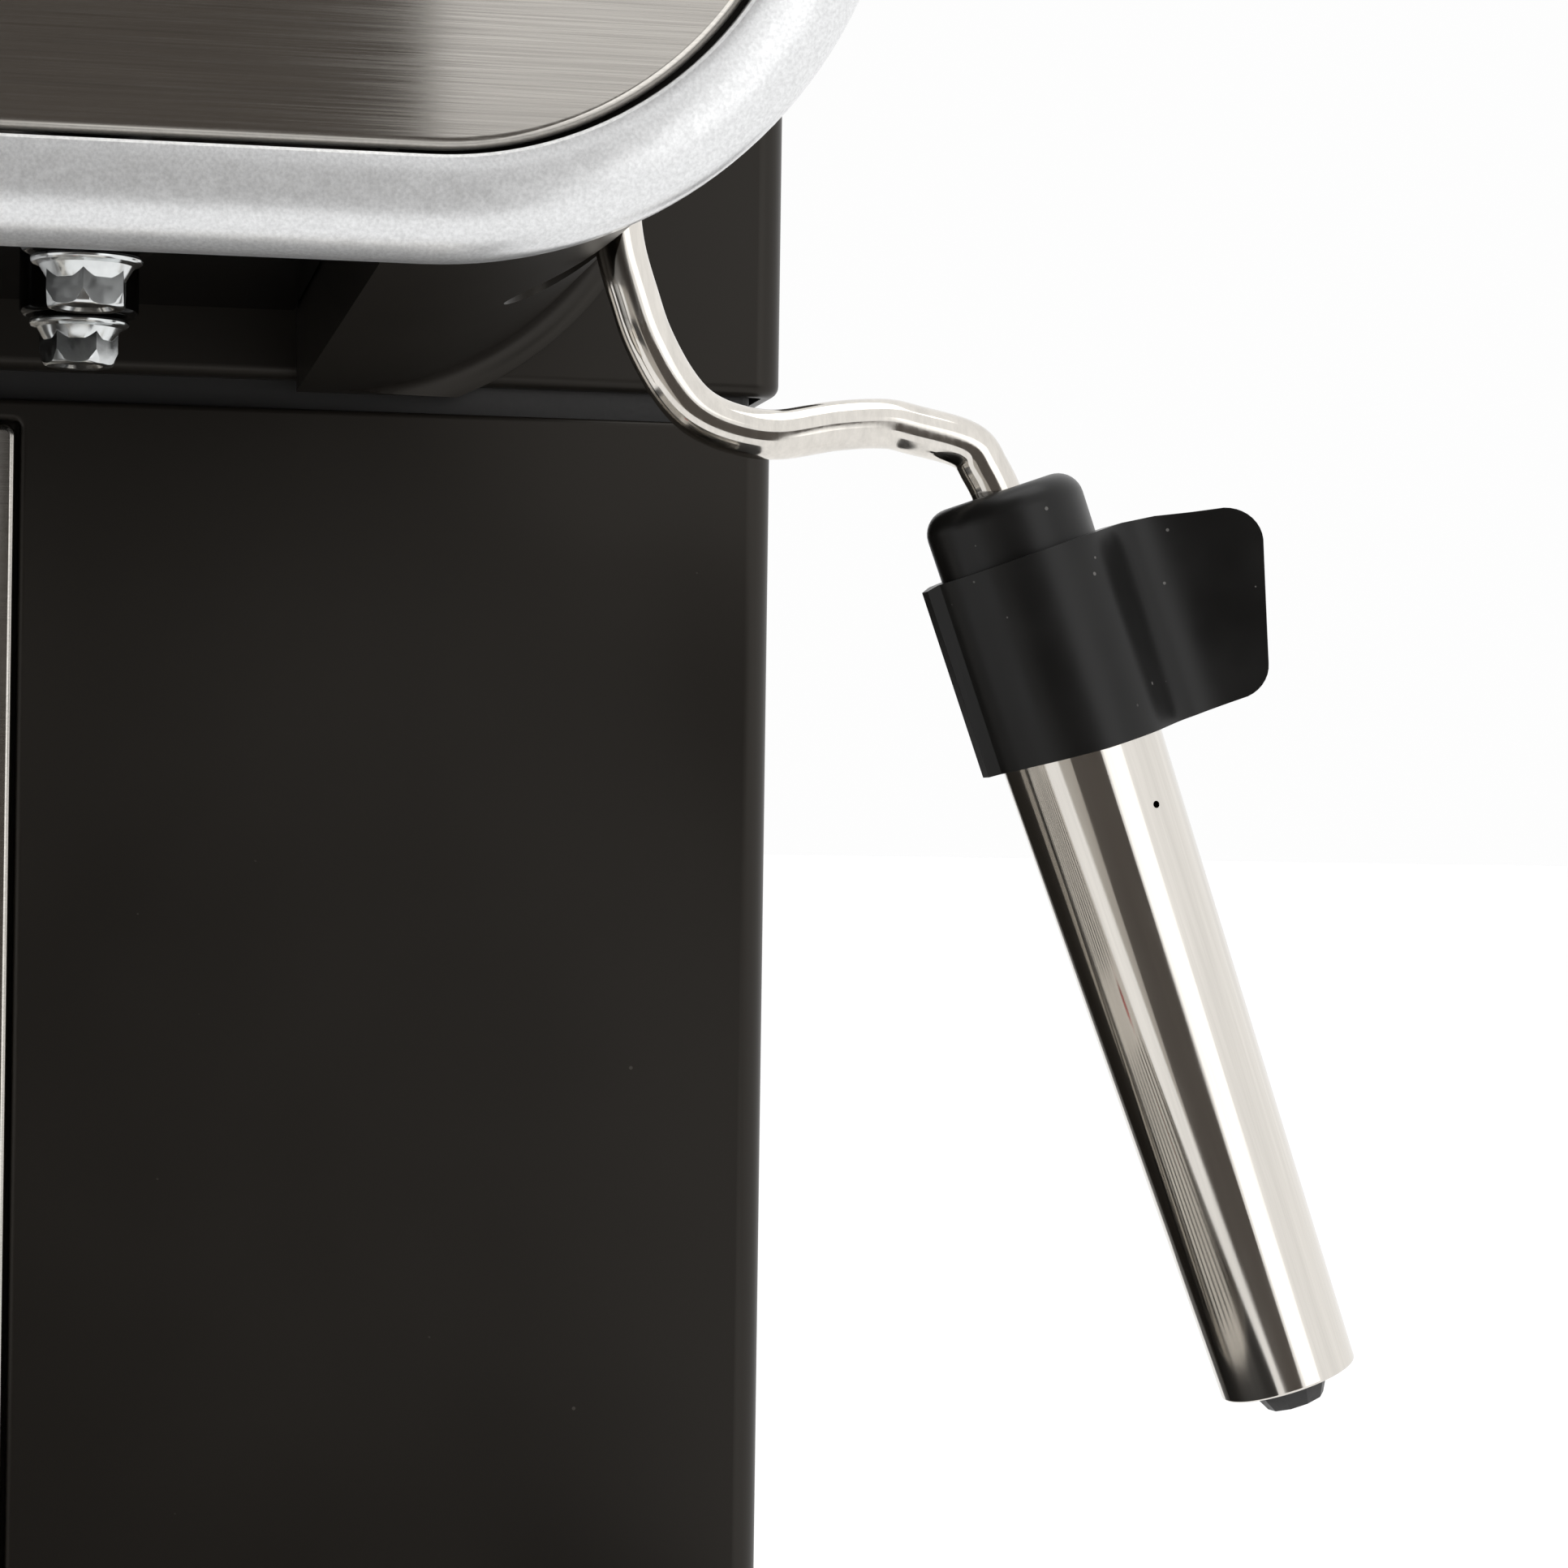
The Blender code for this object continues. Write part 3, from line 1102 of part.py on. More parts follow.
def main():
    clear_scene()
    make_base()
    make_bottom_plate()
    make_feet()
    make_drip_tray()
    make_drip_grate()
    make_drip_float()
    make_power_inlet()
    make_column()
    make_splash_strip()
    make_joint_trim()
    make_upper_housing()
    make_chassis()
    make_cup_warmer()
    make_head_shell()
    make_recess_plate()
    make_group_bolts()
    make_bezel()
    make_front_plate()
    make_buttons()
    make_control_board()
    make_gauge()
    make_group()
    make_group_seals()
    make_portafilter()
    make_filter_basket()
    make_handle()
    make_spout()
    make_boiler()
    make_pump()
    make_hoses()
    make_steam_valve()
    make_steam_pipe()
    make_ball_joint()
    make_wand_tube()
    make_grip()
    make_sleeve()
    make_nozzle()
    make_tank()
    make_tank_lid()
    stand_on_origin()


main()
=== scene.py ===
"""Finished model of the espresso machine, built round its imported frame."""
import math

import bmesh
import bpy
from bpy.props import FloatProperty, FloatVectorProperty, IntProperty, PointerProperty
from mathutils import Matrix, Vector


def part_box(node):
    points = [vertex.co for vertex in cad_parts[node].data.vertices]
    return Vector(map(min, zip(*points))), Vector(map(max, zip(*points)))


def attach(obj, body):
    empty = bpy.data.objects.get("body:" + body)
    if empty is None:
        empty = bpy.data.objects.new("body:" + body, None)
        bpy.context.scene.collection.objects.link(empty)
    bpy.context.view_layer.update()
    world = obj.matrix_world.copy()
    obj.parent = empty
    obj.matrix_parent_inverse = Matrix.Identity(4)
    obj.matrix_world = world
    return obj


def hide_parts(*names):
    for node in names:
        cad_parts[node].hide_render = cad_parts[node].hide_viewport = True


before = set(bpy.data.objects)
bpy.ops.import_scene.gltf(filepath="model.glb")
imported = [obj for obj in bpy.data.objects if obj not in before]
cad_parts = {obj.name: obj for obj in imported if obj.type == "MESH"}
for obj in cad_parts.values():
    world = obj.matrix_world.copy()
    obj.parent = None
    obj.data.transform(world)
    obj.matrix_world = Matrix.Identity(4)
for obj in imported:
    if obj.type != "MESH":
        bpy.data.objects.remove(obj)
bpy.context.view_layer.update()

bl_info = {
    "name": "Espresso Machine",
    "version": (1, 0, 0),
    "blender": (4, 5, 0),
    "location": "3D View > Sidebar > Espresso",
    "description": "Builds the finished pieces of an espresso machine round its frame",
    "category": "Object",
}

MM = 0.001
FRONT = Matrix.Rotation(math.radians(90.0), 4, "X")
GROUP = sum(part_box("group_collar"), Vector()) * 0.5
GROUP.z = 0.0


def at(x, y, z):
    """A point in millimetres from the group's axis and the worktop, in the row frame."""
    return GROUP + Vector((x, y, z)) * MM


def span(node):
    """Lowest and highest corner of a node, in millimetres from the group's axis."""
    low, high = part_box(node)
    return (low - GROUP) / MM, (high - GROUP) / MM


def middle_of(node):
    low, high = span(node)
    return (low + high) / 2.0


def half_width(node):
    low, high = span(node)
    return (high.x - low.x) / 2.0


HEAD_LOW, HEAD_HIGH = span("head_shell")
RECESS_LOW, RECESS_HIGH = span("recess_plate")
WAND_X, WAND_Y, BALL_Z = middle_of("steam_ball")

# Sizes in millimetres.
HEAD_CORNER = 45.8
HEAD_WALL = 3.0
WALL = 2.5
FIT = 0.3
PLAY = 0.5
PAST = 3.0  # how far a cutting tool runs past the face it cuts
BOLT_FLATS = 8.0
TUBE_RADIUS = 3.05
TUBE_END = 103.2  # how far the tube reaches down the sleeve's axis
GRIP_X = WAND_X + 48.8
GRIP_Z = HEAD_LOW.z - 17.5
SLEEVE_TILT = math.radians(19.65)


def upright(x, y, z=0.0):
    """Place with its height along Z."""
    return Matrix.Translation(at(x, y, z))


def above(node, z=0.0):
    """Upright place in line with the middle of a node."""
    middle = middle_of(node)
    return upright(middle.x, middle.y, z)


def facing(x, y, z):
    """Place with its height towards the front."""
    return Matrix.Translation(at(x, y, z)) @ FRONT


def turned(degrees):
    """A turn about the upright axis."""
    return Matrix.Rotation(math.radians(degrees), 4, "Z")


def on_wand():
    """Place on the sleeve's axis: across to the right, towards the front, down the sleeve."""
    cos, sin = math.cos(SLEEVE_TILT), math.sin(SLEEVE_TILT)
    axes = Matrix(((cos, 0.0, sin, 0.0), (0.0, -1.0, 0.0, 0.0), (sin, 0.0, -cos, 0.0), (0, 0, 0, 1)))
    return Matrix.Translation(at(GRIP_X, WAND_Y, GRIP_Z)) @ axes


BOLTS = ("group_bolt_front_left", "group_bolt_front_right", "group_bolt_rear_left",
         "group_bolt_rear_right")
FEET = ("foot_front_left", "foot_front_right", "foot_rear_left", "foot_rear_right")
BUTTONS = ("power_button", "coffee_button", "steam_button")


# ---- settings

class MachineFinishes(bpy.types.PropertyGroup):
    silver: FloatVectorProperty(
        name="Silver paint", description="Colour of the frame round the front plate",
        subtype="COLOR", size=3, min=0.0, max=1.0, default=(0.82, 0.825, 0.83))
    shell: FloatVectorProperty(
        name="Dark paint", description="Colour of the head, the housing and the column",
        subtype="COLOR", size=3, min=0.0, max=1.0, default=(0.0145, 0.0125, 0.0105))
    steel: FloatVectorProperty(
        name="Steel", description="Colour of the brushed and polished steel",
        subtype="COLOR", size=3, min=0.0, max=1.0, default=(0.60, 0.572, 0.53))
    rubber: FloatVectorProperty(
        name="Rubber", description="Colour of the wand's grip and of the feet",
        subtype="COLOR", size=3, min=0.0, max=1.0, default=(0.0065, 0.0062, 0.0058))
    dust: FloatProperty(
        name="Dust", description="Share of the fine dust specks on dark surfaces",
        subtype="FACTOR", min=0.0, max=1.0, default=0.5)


class MachineDetails(bpy.types.PropertyGroup):
    bezel_steps: IntProperty(
        name="Bezel steps", description="Steps of the frame's rounded section",
        min=6, max=40, default=18)
    plate_roll: FloatProperty(
        name="Plate edge", description="Radius of the front plate's rolled edge, in millimetres",
        min=0.2, max=1.3, default=1.2)
    fillet: FloatProperty(
        name="Head fillet", description="Fillet where the head meets the housing, in millimetres",
        min=0.5, max=6.0, default=4.0)
    sleeve_steps: IntProperty(
        name="Sleeve steps", description="Sides of the frothing sleeve",
        min=24, max=160, default=96)
    grate_slots: IntProperty(
        name="Grate slots", description="Rows of slots in the drip grate",
        min=3, max=20, default=9)
    knob_flutes: IntProperty(
        name="Knob flutes", description="Finger flutes round the steam knob",
        min=6, max=36, default=18)
    gauge_marks: IntProperty(
        name="Gauge marks", description="Marks on the gauge's dial",
        min=7, max=61, default=31)


class StudioSettings(bpy.types.PropertyGroup):
    backdrop: FloatProperty(
        name="Backdrop", description="Brightness of the white surroundings",
        min=0.0, max=4.0, default=0.985)
    soft_top: FloatProperty(
        name="Top light", description="Power of the soft light overhead",
        subtype="POWER", unit="POWER", min=0.0, max=500.0, default=6.0)
    side: FloatProperty(
        name="Side light", description="Power of the soft light to the right of the camera",
        subtype="POWER", unit="POWER", min=0.0, max=100.0, default=0.36)
    lens: FloatProperty(
        name="Lens", description="Focal length of the camera, in millimetres",
        min=20.0, max=200.0, default=88.0)


# ---- modelling helpers

def deselect():
    if bpy.context.mode != "OBJECT":
        bpy.ops.object.mode_set(mode="OBJECT")
    bpy.ops.object.select_all(action="DESELECT")


def activate(piece):
    deselect()
    piece.select_set(True)
    bpy.context.view_layer.objects.active = piece


def enter_edit():
    bpy.ops.object.mode_set(mode="EDIT")
    bpy.ops.mesh.select_mode(type="VERT")
    bpy.ops.mesh.select_all(action="SELECT")


def leave_edit():
    bpy.ops.object.mode_set(mode="OBJECT")
    return bpy.context.object


def pick(kind, test):
    """In edit mode, selects the vertices, edges or faces whose middle passes a test."""
    bpy.ops.mesh.select_mode(type=kind)
    bpy.ops.mesh.select_all(action="DESELECT")
    mesh = bmesh.from_edit_mesh(bpy.context.edit_object.data)
    if kind == "VERT":
        for vertex in mesh.verts:
            vertex.select = test(vertex.co / MM)
    elif kind == "EDGE":
        for edge in mesh.edges:
            edge.select = test((edge.verts[0].co + edge.verts[1].co) / 2.0 / MM)
    else:
        for face in mesh.faces:
            face.select = test(face.calc_center_median() / MM)
    mesh.select_flush_mode()
    bmesh.update_edit_mesh(bpy.context.edit_object.data)


def tidy_mesh():
    """In edit mode, merges doubles and turns every face outwards."""
    bpy.ops.mesh.select_all(action="SELECT")
    bpy.ops.mesh.remove_doubles(threshold=0.000002)
    bpy.ops.mesh.normals_make_consistent(inside=False)


def put(piece, place):
    """Lays a piece modelled at the origin at its place, kept in its mesh."""
    activate(piece)
    piece.matrix_world = place
    bpy.ops.object.transform_apply(location=True, rotation=True, scale=True)
    return piece


def modifier(piece, kind, **values):
    """Adds a modifier and applies it."""
    activate(piece)
    bpy.ops.object.modifier_add(type=kind)
    added = piece.modifiers[-1]
    for name, value in values.items():
        setattr(added, name, value)
    bpy.context.evaluated_depsgraph_get().update()
    bpy.ops.object.modifier_apply(modifier=added.name)


def round_edges(piece, width, steps=3, angle=32.0):
    modifier(piece, "BEVEL", width=width * MM, segments=steps, limit_method="ANGLE",
             angle_limit=math.radians(angle), miter_outer="MITER_ARC")


def combine(piece, tool, operation="DIFFERENCE"):
    """Cuts, adds or keeps the common part of another shape, which is then removed."""
    modifier(piece, "BOOLEAN", operation=operation, solver="EXACT", object=tool)
    bpy.data.objects.remove(tool)
    return piece


def slab(width, height, depth, radius=0.0, steps=12):
    """A rounded rectangle in X and Y, pushed up from Z = 0, at the origin."""
    deselect()
    bpy.ops.mesh.primitive_plane_add(size=MM)
    enter_edit()
    bpy.ops.transform.resize(value=(width, height, 1.0))
    if radius:
        bpy.ops.mesh.bevel(offset=radius * MM, segments=steps, affect="VERTICES", clamp_overlap=False)
    bpy.ops.mesh.select_all(action="SELECT")
    bpy.ops.mesh.extrude_region_move(TRANSFORM_OT_translate={"value": (0.0, 0.0, depth * MM)})
    tidy_mesh()
    return leave_edit()


def block(low, high, radius=0.0, steps=12):
    """An upright block between two corners, with its upright edges rounded."""
    middle = ((low[0] + high[0]) / 2.0, (low[1] + high[1]) / 2.0)
    piece = slab(high[0] - low[0], high[1] - low[1], high[2] - low[2], radius, steps)
    return put(piece, upright(middle[0], middle[1], low[2]))


def hollow(piece, low, high, sides, front, back, floor, roof, radius=0.0, steps=12):
    """Cuts a room out of a piece, with a wall on each side; a wall below 0 leaves that side open."""
    start, end = low + Vector((sides, front, floor)), high - Vector((sides, back, roof))
    return combine(piece, block(start, end, radius, steps))


def front_panel(low, high, radius=0.0, steps=12):
    """A panel between two corners, facing the front, rounded in X and Z."""
    piece = slab(high[0] - low[0], high[2] - low[2], high[1] - low[1], radius, steps)
    return put(piece, facing((low[0] + high[0]) / 2.0, high[1], (low[2] + high[2]) / 2.0))


def outline_mesh(points, closed):
    """A chain of edges through points in X and Z, drawn by extruding a vertex."""
    deselect()
    bpy.ops.mesh.primitive_plane_add(size=MM)
    enter_edit()
    bpy.ops.mesh.merge(type="CENTER")
    first = Vector((points[0][0], 0.0, points[0][1])) * MM
    bpy.ops.transform.translate(value=first)
    for before, after in zip(points, points[1:]):
        step = Vector((after[0] - before[0], 0.0, after[1] - before[1])) * MM
        bpy.ops.mesh.extrude_vertices_move(TRANSFORM_OT_translate={"value": step})
    if closed:
        ends = (points[0], points[-1])
        pick("VERT", lambda c: any(abs(c.x - a) + abs(c.z - b) < 1e-4 for a, b in ends))
        bpy.ops.mesh.edge_face_add()


def lathe(points, place, sides=96, closed=False):
    """Turns an outline of (radius, height) points once round its axis."""
    outline_mesh(points, closed)
    bpy.ops.mesh.select_all(action="SELECT")
    bpy.ops.mesh.spin(steps=sides, angle=2.0 * math.pi, center=(0.0, 0.0, 0.0), axis=(0.0, 0.0, 1.0))
    tidy_mesh()
    return put(leave_edit(), place)


def rod(radius, low, high, place, sides=48):
    """A round bar between two heights, mostly used to drill a hole."""
    return lathe([(0.0, low), (radius, low), (radius, high), (0.0, high)], place, sides)


def inset_along(section):
    """In edit mode, insets and raises the selected face along a section of (in, up) points."""
    for before, after in zip(section, section[1:]):
        bpy.ops.mesh.inset(thickness=(after[0] - before[0]) * MM, depth=(after[1] - before[1]) * MM)


def cut_out(points, low, high, place=Matrix()):
    """A flat outline of (a, b) points in X and Y, pushed along Z between two heights."""
    outline_mesh(points, True)
    bpy.ops.mesh.select_all(action="SELECT")
    bpy.ops.mesh.edge_face_add()
    bpy.ops.mesh.extrude_region_move(TRANSFORM_OT_translate={"value": (0.0, (high - low) * MM, 0.0)})
    tidy_mesh()
    lay = Matrix.Translation((0.0, 0.0, high * MM)) @ FRONT.inverted()
    return put(leave_edit(), place @ lay)


def arc(centre, radius, start, end, steps=6):
    """Points on a round corner, angles in degrees."""
    turns = [math.radians(start + (end - start) * step / steps) for step in range(steps + 1)]
    return [(centre[0] + radius * math.cos(turn), centre[1] + radius * math.sin(turn)) for turn in turns]


def smooth(points, steps=8):
    """More points on a smooth curve through the given ones."""
    route = [Vector(point) for point in points]
    result = []
    for index in range(len(route) - 1):
        before, here = route[max(index - 1, 0)], route[index]
        after, beyond = route[index + 1], route[min(index + 2, len(route) - 1)]
        for step in range(steps):
            t = step / steps
            bend = 2.0 * before - 5.0 * here + 4.0 * after - beyond
            twist = 3.0 * here - before - 3.0 * after + beyond
            result.append(0.5 * (2.0 * here + (after - before) * t + bend * t * t + twist * t ** 3))
    return result + [route[-1]]


def pipe(points, radius, sides=5):
    """A round bar along points given in millimetres from the group's axis."""
    deselect()
    bpy.ops.curve.primitive_bezier_curve_add()
    curve = bpy.context.object.data
    curve.splines.clear()
    line = curve.splines.new("POLY")
    line.points.add(len(points) - 1)
    for target, point in zip(line.points, points):
        target.co = (*at(*point), 1.0)
    curve.dimensions = "3D"
    curve.bevel_depth = radius * MM
    curve.bevel_resolution = sides
    curve.use_fill_caps = True
    bpy.ops.object.convert(target="MESH")
    enter_edit()
    tidy_mesh()
    return leave_edit()


def join(first, *others):
    """Joins separate shapes of one piece into one object."""
    activate(first)
    for other in others:
        other.select_set(True)
    bpy.ops.object.join()
    return first


def copy_of(piece, place):
    """A copy with its own mesh, laid at its place."""
    twin = piece.copy()
    twin.data = piece.data.copy()
    bpy.context.scene.collection.objects.link(twin)
    return put(twin, place)


def finish(piece, name, body, slot, *nodes, material="", angle=30.0):
    """Names a finished piece, shades it, hangs it on its body's empty and hides the nodes it stands for.

    It takes its slot's material, unless another is named.
    """
    piece.name = name
    piece.data.name = name
    activate(piece)
    bpy.ops.object.shade_smooth_by_angle(angle=math.radians(angle))
    modifier(piece, "WEIGHTED_NORMAL", keep_sharp=True, weight=80)
    piece.data.materials.clear()
    piece.data.materials.append(MATERIALS[material or SLOT_MATERIALS.get(slot, slot)])
    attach(piece, body)
    if nodes:
        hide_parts(*nodes)
    return piece


# ---- materials

MATERIALS = {}
SPECK_GAPS = 0.62

# The slots whose material has another name.
SLOT_MATERIALS = {
    "dark_shell": "dark_paint",
    "black_gloss": "gloss_black",
    "rubber": "soft_rubber",
    "dial_paint": "dial_enamel",
    "aluminium": "cast_aluminium",
}


class Recipe:
    """A material, with short forms for its nodes."""

    def __init__(self, name, colour, roughness, metallic=0.0, **sockets):
        self.material = bpy.data.materials.new(name)
        self.material.use_nodes = True
        self.material.diffuse_color = (*colour, 1.0)
        self.tree = self.material.node_tree
        self.shader = self.tree.nodes["Principled BSDF"]
        self.colour = colour
        sockets.update(base_color=(*colour, 1.0), roughness=roughness, metallic=metallic)
        for socket, value in sockets.items():
            title = socket.replace("_", " ").title().replace("Ior", "IOR")
            self.shader.inputs[title].default_value = value
        MATERIALS[name] = self.material

    def fill(self, socket, value):
        """Links a socket to another one, or sets its value."""
        if isinstance(value, bpy.types.NodeSocket):
            self.tree.links.new(value, socket)
        else:
            socket.default_value = value

    def node(self, kind, **values):
        """A new node, with values for its sockets and settings."""
        made = self.tree.nodes.new("ShaderNode" + kind)
        for name, value in values.items():
            if name in made.inputs:
                self.fill(made.inputs[name], value)
            else:
                setattr(made, name, value)
        return made

    def coordinates(self, cells, turn=(0.0, 0.0, 0.0)):
        """Object coordinates, turned and stretched; cells is their count per metre, on each axis."""
        counts = cells if isinstance(cells, tuple) else (cells,) * 3
        source = self.node("TexCoord").outputs["Object"]
        mapping = self.node("Mapping", vector_type="TEXTURE", Vector=source, Rotation=turn,
                            Scale=[1.0 / count for count in counts])
        return mapping.outputs["Vector"]

    def noise(self, cells, detail=2.0, turn=(0.0, 0.0, 0.0), roughness=0.5):
        made = self.node("TexNoise", Vector=self.coordinates(cells, turn), Scale=1.0, Detail=detail,
                         Roughness=roughness)
        return made.outputs["Fac"]

    def calculate(self, operation, first, second):
        made = self.node("Math", operation=operation)
        self.fill(made.inputs[0], first)
        self.fill(made.inputs[1], second)
        return made.outputs[0]

    def specks(self, cells, size, turn=(0.0, 0.0, 0.0)):
        """Small scattered spots, 1 inside a spot and 0 outside; SPECK_GAPS of the cells stay empty."""
        made = self.node("TexVoronoi", Vector=self.coordinates(cells, turn), Scale=1.0)
        chance = self.node("SeparateColor", Color=made.outputs["Color"]).outputs[0]
        spot = self.calculate("LESS_THAN", made.outputs["Distance"], size)
        return self.calculate("MULTIPLY", spot, self.calculate("GREATER_THAN", chance, SPECK_GAPS))

    def spread(self, source, low, high, start=0.3, end=0.7):
        """A number that goes from low to high as the source goes from start to end."""
        ends = {"Value": source, "From Min": start, "From Max": end, "To Min": low, "To Max": high}
        return self.node("MapRange", **ends).outputs["Result"]

    def lay(self, share, under, over):
        """Makes the base colour a mix of two, and gives it back as a socket."""
        made = self.node("Mix", data_type="RGBA")
        for place, value in ((0, share), (6, under), (7, over)):
            self.fill(made.inputs[place], value)
        self.fill(self.shader.inputs["Base Color"], made.outputs[2])
        return made.outputs[2]

    def tint(self, source, dark, light, start=0.3, end=0.7):
        """Base colour between two shares of the material's own colour."""
        shades = [(*[min(part * share, 1.0) for part in self.colour], 1.0) for share in (dark, light)]
        return self.lay(self.spread(source, 0.0, 1.0, start, end), *shades)

    def roughen(self, source, low, high):
        self.fill(self.shader.inputs["Roughness"], self.spread(source, low, high))

    def bump(self, source, height, strength):
        """Raises the source by a height in millimetres."""
        made = self.node("Bump", Height=source, Strength=strength, Distance=height * MM)
        self.fill(self.shader.inputs["Normal"], made.outputs["Normal"])


def plain(name, colour, cells, shades, roughness, metallic=0.0, detail=2.0, **sockets):
    """A finish whose shade, and gloss where it has a range, follow one pattern, kept as cloud."""
    recipe = Recipe(name, colour, roughness[0], metallic, **sockets)
    recipe.cloud = recipe.noise(cells, detail)
    recipe.tint(recipe.cloud, *shades)
    if len(roughness) == 2:
        recipe.roughen(recipe.cloud, *roughness)
    return recipe


def make_silver_paint(colours):
    recipe = Recipe("silver_paint", colours.silver[:], 0.34, 0.6, coat_weight=0.5, coat_roughness=0.1)
    flake = recipe.noise(2600.0, 3.0)
    recipe.tint(flake, 0.86, 1.10)
    recipe.roughen(recipe.noise(700.0), 0.28, 0.37)
    recipe.bump(flake, 0.004, 0.35)


def make_brushed_steel(colours):
    """Fine lines from side to side, which stretch what the steel mirrors up and down."""
    recipe = Recipe("brushed_steel", colours.steel[:], 0.15, 1.0, anisotropic=1.0)
    fine = recipe.noise((60.0, 9000.0, 9000.0))
    recipe.tint(recipe.noise((18.0, 4200.0, 4200.0), 3.0), 0.90, 1.06)
    recipe.roughen(fine, 0.11, 0.21)
    recipe.bump(fine, 0.002, 0.4)
    recipe.fill(recipe.shader.inputs["Tangent"], recipe.node("CombineXYZ", Z=1.0).outputs[0])


def make_polished_steel(colours):
    """Polish with faint streaks along the piece, upright or along the sleeve."""
    bright = tuple(min(part * 1.3, 1.0) for part in colours.steel)
    for name, tilt in (("polished_steel", 0.0), ("sleeve_steel", -SLEEVE_TILT)):
        recipe = Recipe(name, bright, 0.09, 1.0)
        turn = (0.0, tilt, 0.0)
        recipe.tint(recipe.noise((460.0, 460.0, 7.0), 5.0, turn, 0.7), 0.86, 1.06)
        recipe.roughen(recipe.noise((900.0, 900.0, 60.0), 2.0, turn), 0.06, 0.13)
        recipe.bump(recipe.noise((1400.0, 1400.0, 22.0), 3.0, turn), 0.0022, 0.5)


def add_dust(recipe, base, layers):
    """Specks over a base colour: for each layer its cells, size, turn, share and colour."""
    for cells, size, turn, share, colour in layers:
        spots = recipe.spread(recipe.specks(cells, size, turn), 0.0, share, 0.0, 1.0)
        base = recipe.lay(spots, base, (*colour, 1.0))


def make_dark_paint(colours):
    recipe = Recipe("dark_paint", colours.shell[:], 0.36, specular_ior_level=0.32,
                    specular_tint=(1.0, 0.94, 0.86, 1.0))
    broad = recipe.noise(18.0)
    dust = (130.0, 0.035, (0.0, 0.0, 0.0), colours.dust, (0.10, 0.09, 0.08))
    fibres = ((160.0, 40.0, 160.0), 0.02, (0.3, 0.5, 0.9), colours.dust * 0.6, (0.12, 0.11, 0.10))
    add_dust(recipe, recipe.tint(broad, 0.9, 1.12), (dust, fibres))
    recipe.roughen(broad, 0.33, 0.40)
    recipe.bump(recipe.noise(1500.0, 3.0), 0.004, 0.3)


def make_rubber(colours):
    recipe = Recipe("soft_rubber", colours.rubber[:], 0.36, specular_ior_level=0.3)
    broad = recipe.noise(120.0)
    dust = (360.0, 0.085, (0.0, 0.0, 0.0), colours.dust, (0.22, 0.21, 0.20))
    rubs = ((260.0, 260.0, 70.0), 0.04, (0.9, 0.2, 0.4), colours.dust * 0.7, (0.12, 0.115, 0.11))
    add_dust(recipe, recipe.tint(broad, 0.85, 1.2), (dust, rubs))
    recipe.roughen(broad, 0.29, 0.37)
    recipe.bump(recipe.noise(2200.0, 3.0), 0.005, 0.3)


def make_gloss_black():
    recipe = plain("gloss_black", (0.0025, 0.0023, 0.002), 45.0, (0.8, 1.3), (0.12, 0.22),
                   specular_ior_level=0.1)
    recipe.bump(recipe.cloud, 0.02, 0.3)


def make_black_plastic():
    recipe = Recipe("black_plastic", (0.018, 0.017, 0.0165), 0.45)
    grain = recipe.noise(1800.0)
    recipe.tint(recipe.noise(30.0), 0.9, 1.1)
    recipe.roughen(grain, 0.38, 0.52)
    recipe.bump(grain, 0.02, 0.35)


def make_plain_metals():
    zinc = plain("zinc", (0.78, 0.80, 0.80), 420.0, (0.86, 1.05), (0.10, 0.26), 1.0, 3.0)
    zinc.bump(zinc.noise(1100.0), 0.01, 0.35)
    cast = plain("cast_aluminium", (0.58, 0.58, 0.58), 900.0, (0.85, 1.08), (0.32, 0.5), 1.0, 4.0)
    cast.bump(cast.cloud, 0.02, 0.4)
    brass = plain("machined_brass", (0.66, 0.50, 0.24), (80.0, 80.0, 3000.0), (0.9, 1.06),
                  (0.24, 0.36), 1.0)
    brass.bump(brass.cloud, 0.004, 0.4)


def make_small_finishes():
    plain("clear_plastic", (0.86, 0.90, 0.92), 60.0, (0.97, 1.02), (0.03, 0.08),
          transmission_weight=1.0, ior=1.45)
    plain("lens_glass", (0.97, 0.98, 0.98), 80.0, (0.99, 1.01), (0.01,), transmission_weight=1.0,
          ior=1.3)
    plain("dial_enamel", (0.80, 0.79, 0.74), 200.0, (0.98, 1.02), (0.35,))
    plain("dial_marks", (0.02, 0.02, 0.02), 900.0, (0.9, 1.2), (0.5,))
    plain("silicone", (0.76, 0.76, 0.74), 140.0, (0.95, 1.03), (0.5,), subsurface_weight=0.1)
    red = plain("red_plastic", (0.55, 0.03, 0.02), 90.0, (0.92, 1.05), (0.35,))
    red.bump(red.noise(1600.0), 0.01, 0.3)
    board = Recipe("circuit_board", (0.02, 0.16, 0.07), 0.4)
    board.tint(board.specks(500.0, 0.3), 0.8, 1.6, 0.0, 1.0)


# The frame's own nodes that stay as they are, under the material they get.
KEPT_NODES = {
    "cast_aluminium": ("bottom_plate", "chassis", "boiler_base", "boiler_dome", "pump_bracket"),
    "machined_brass": ("steam_valve", "steam_pipe", "steam_stem", "ball_socket"),
    "black_plastic": ("joint_trim", "pump", "thermostat", "tank_valve"),
    "soft_rubber": ("group_gasket",),
    "polished_steel": ("shower_screen", "filter_basket", "steam_ball"),
    "zinc": ("heating_element",),
    "silicone": ("suction_hose", "pressure_hose"),
    "circuit_board": ("control_board",),
}


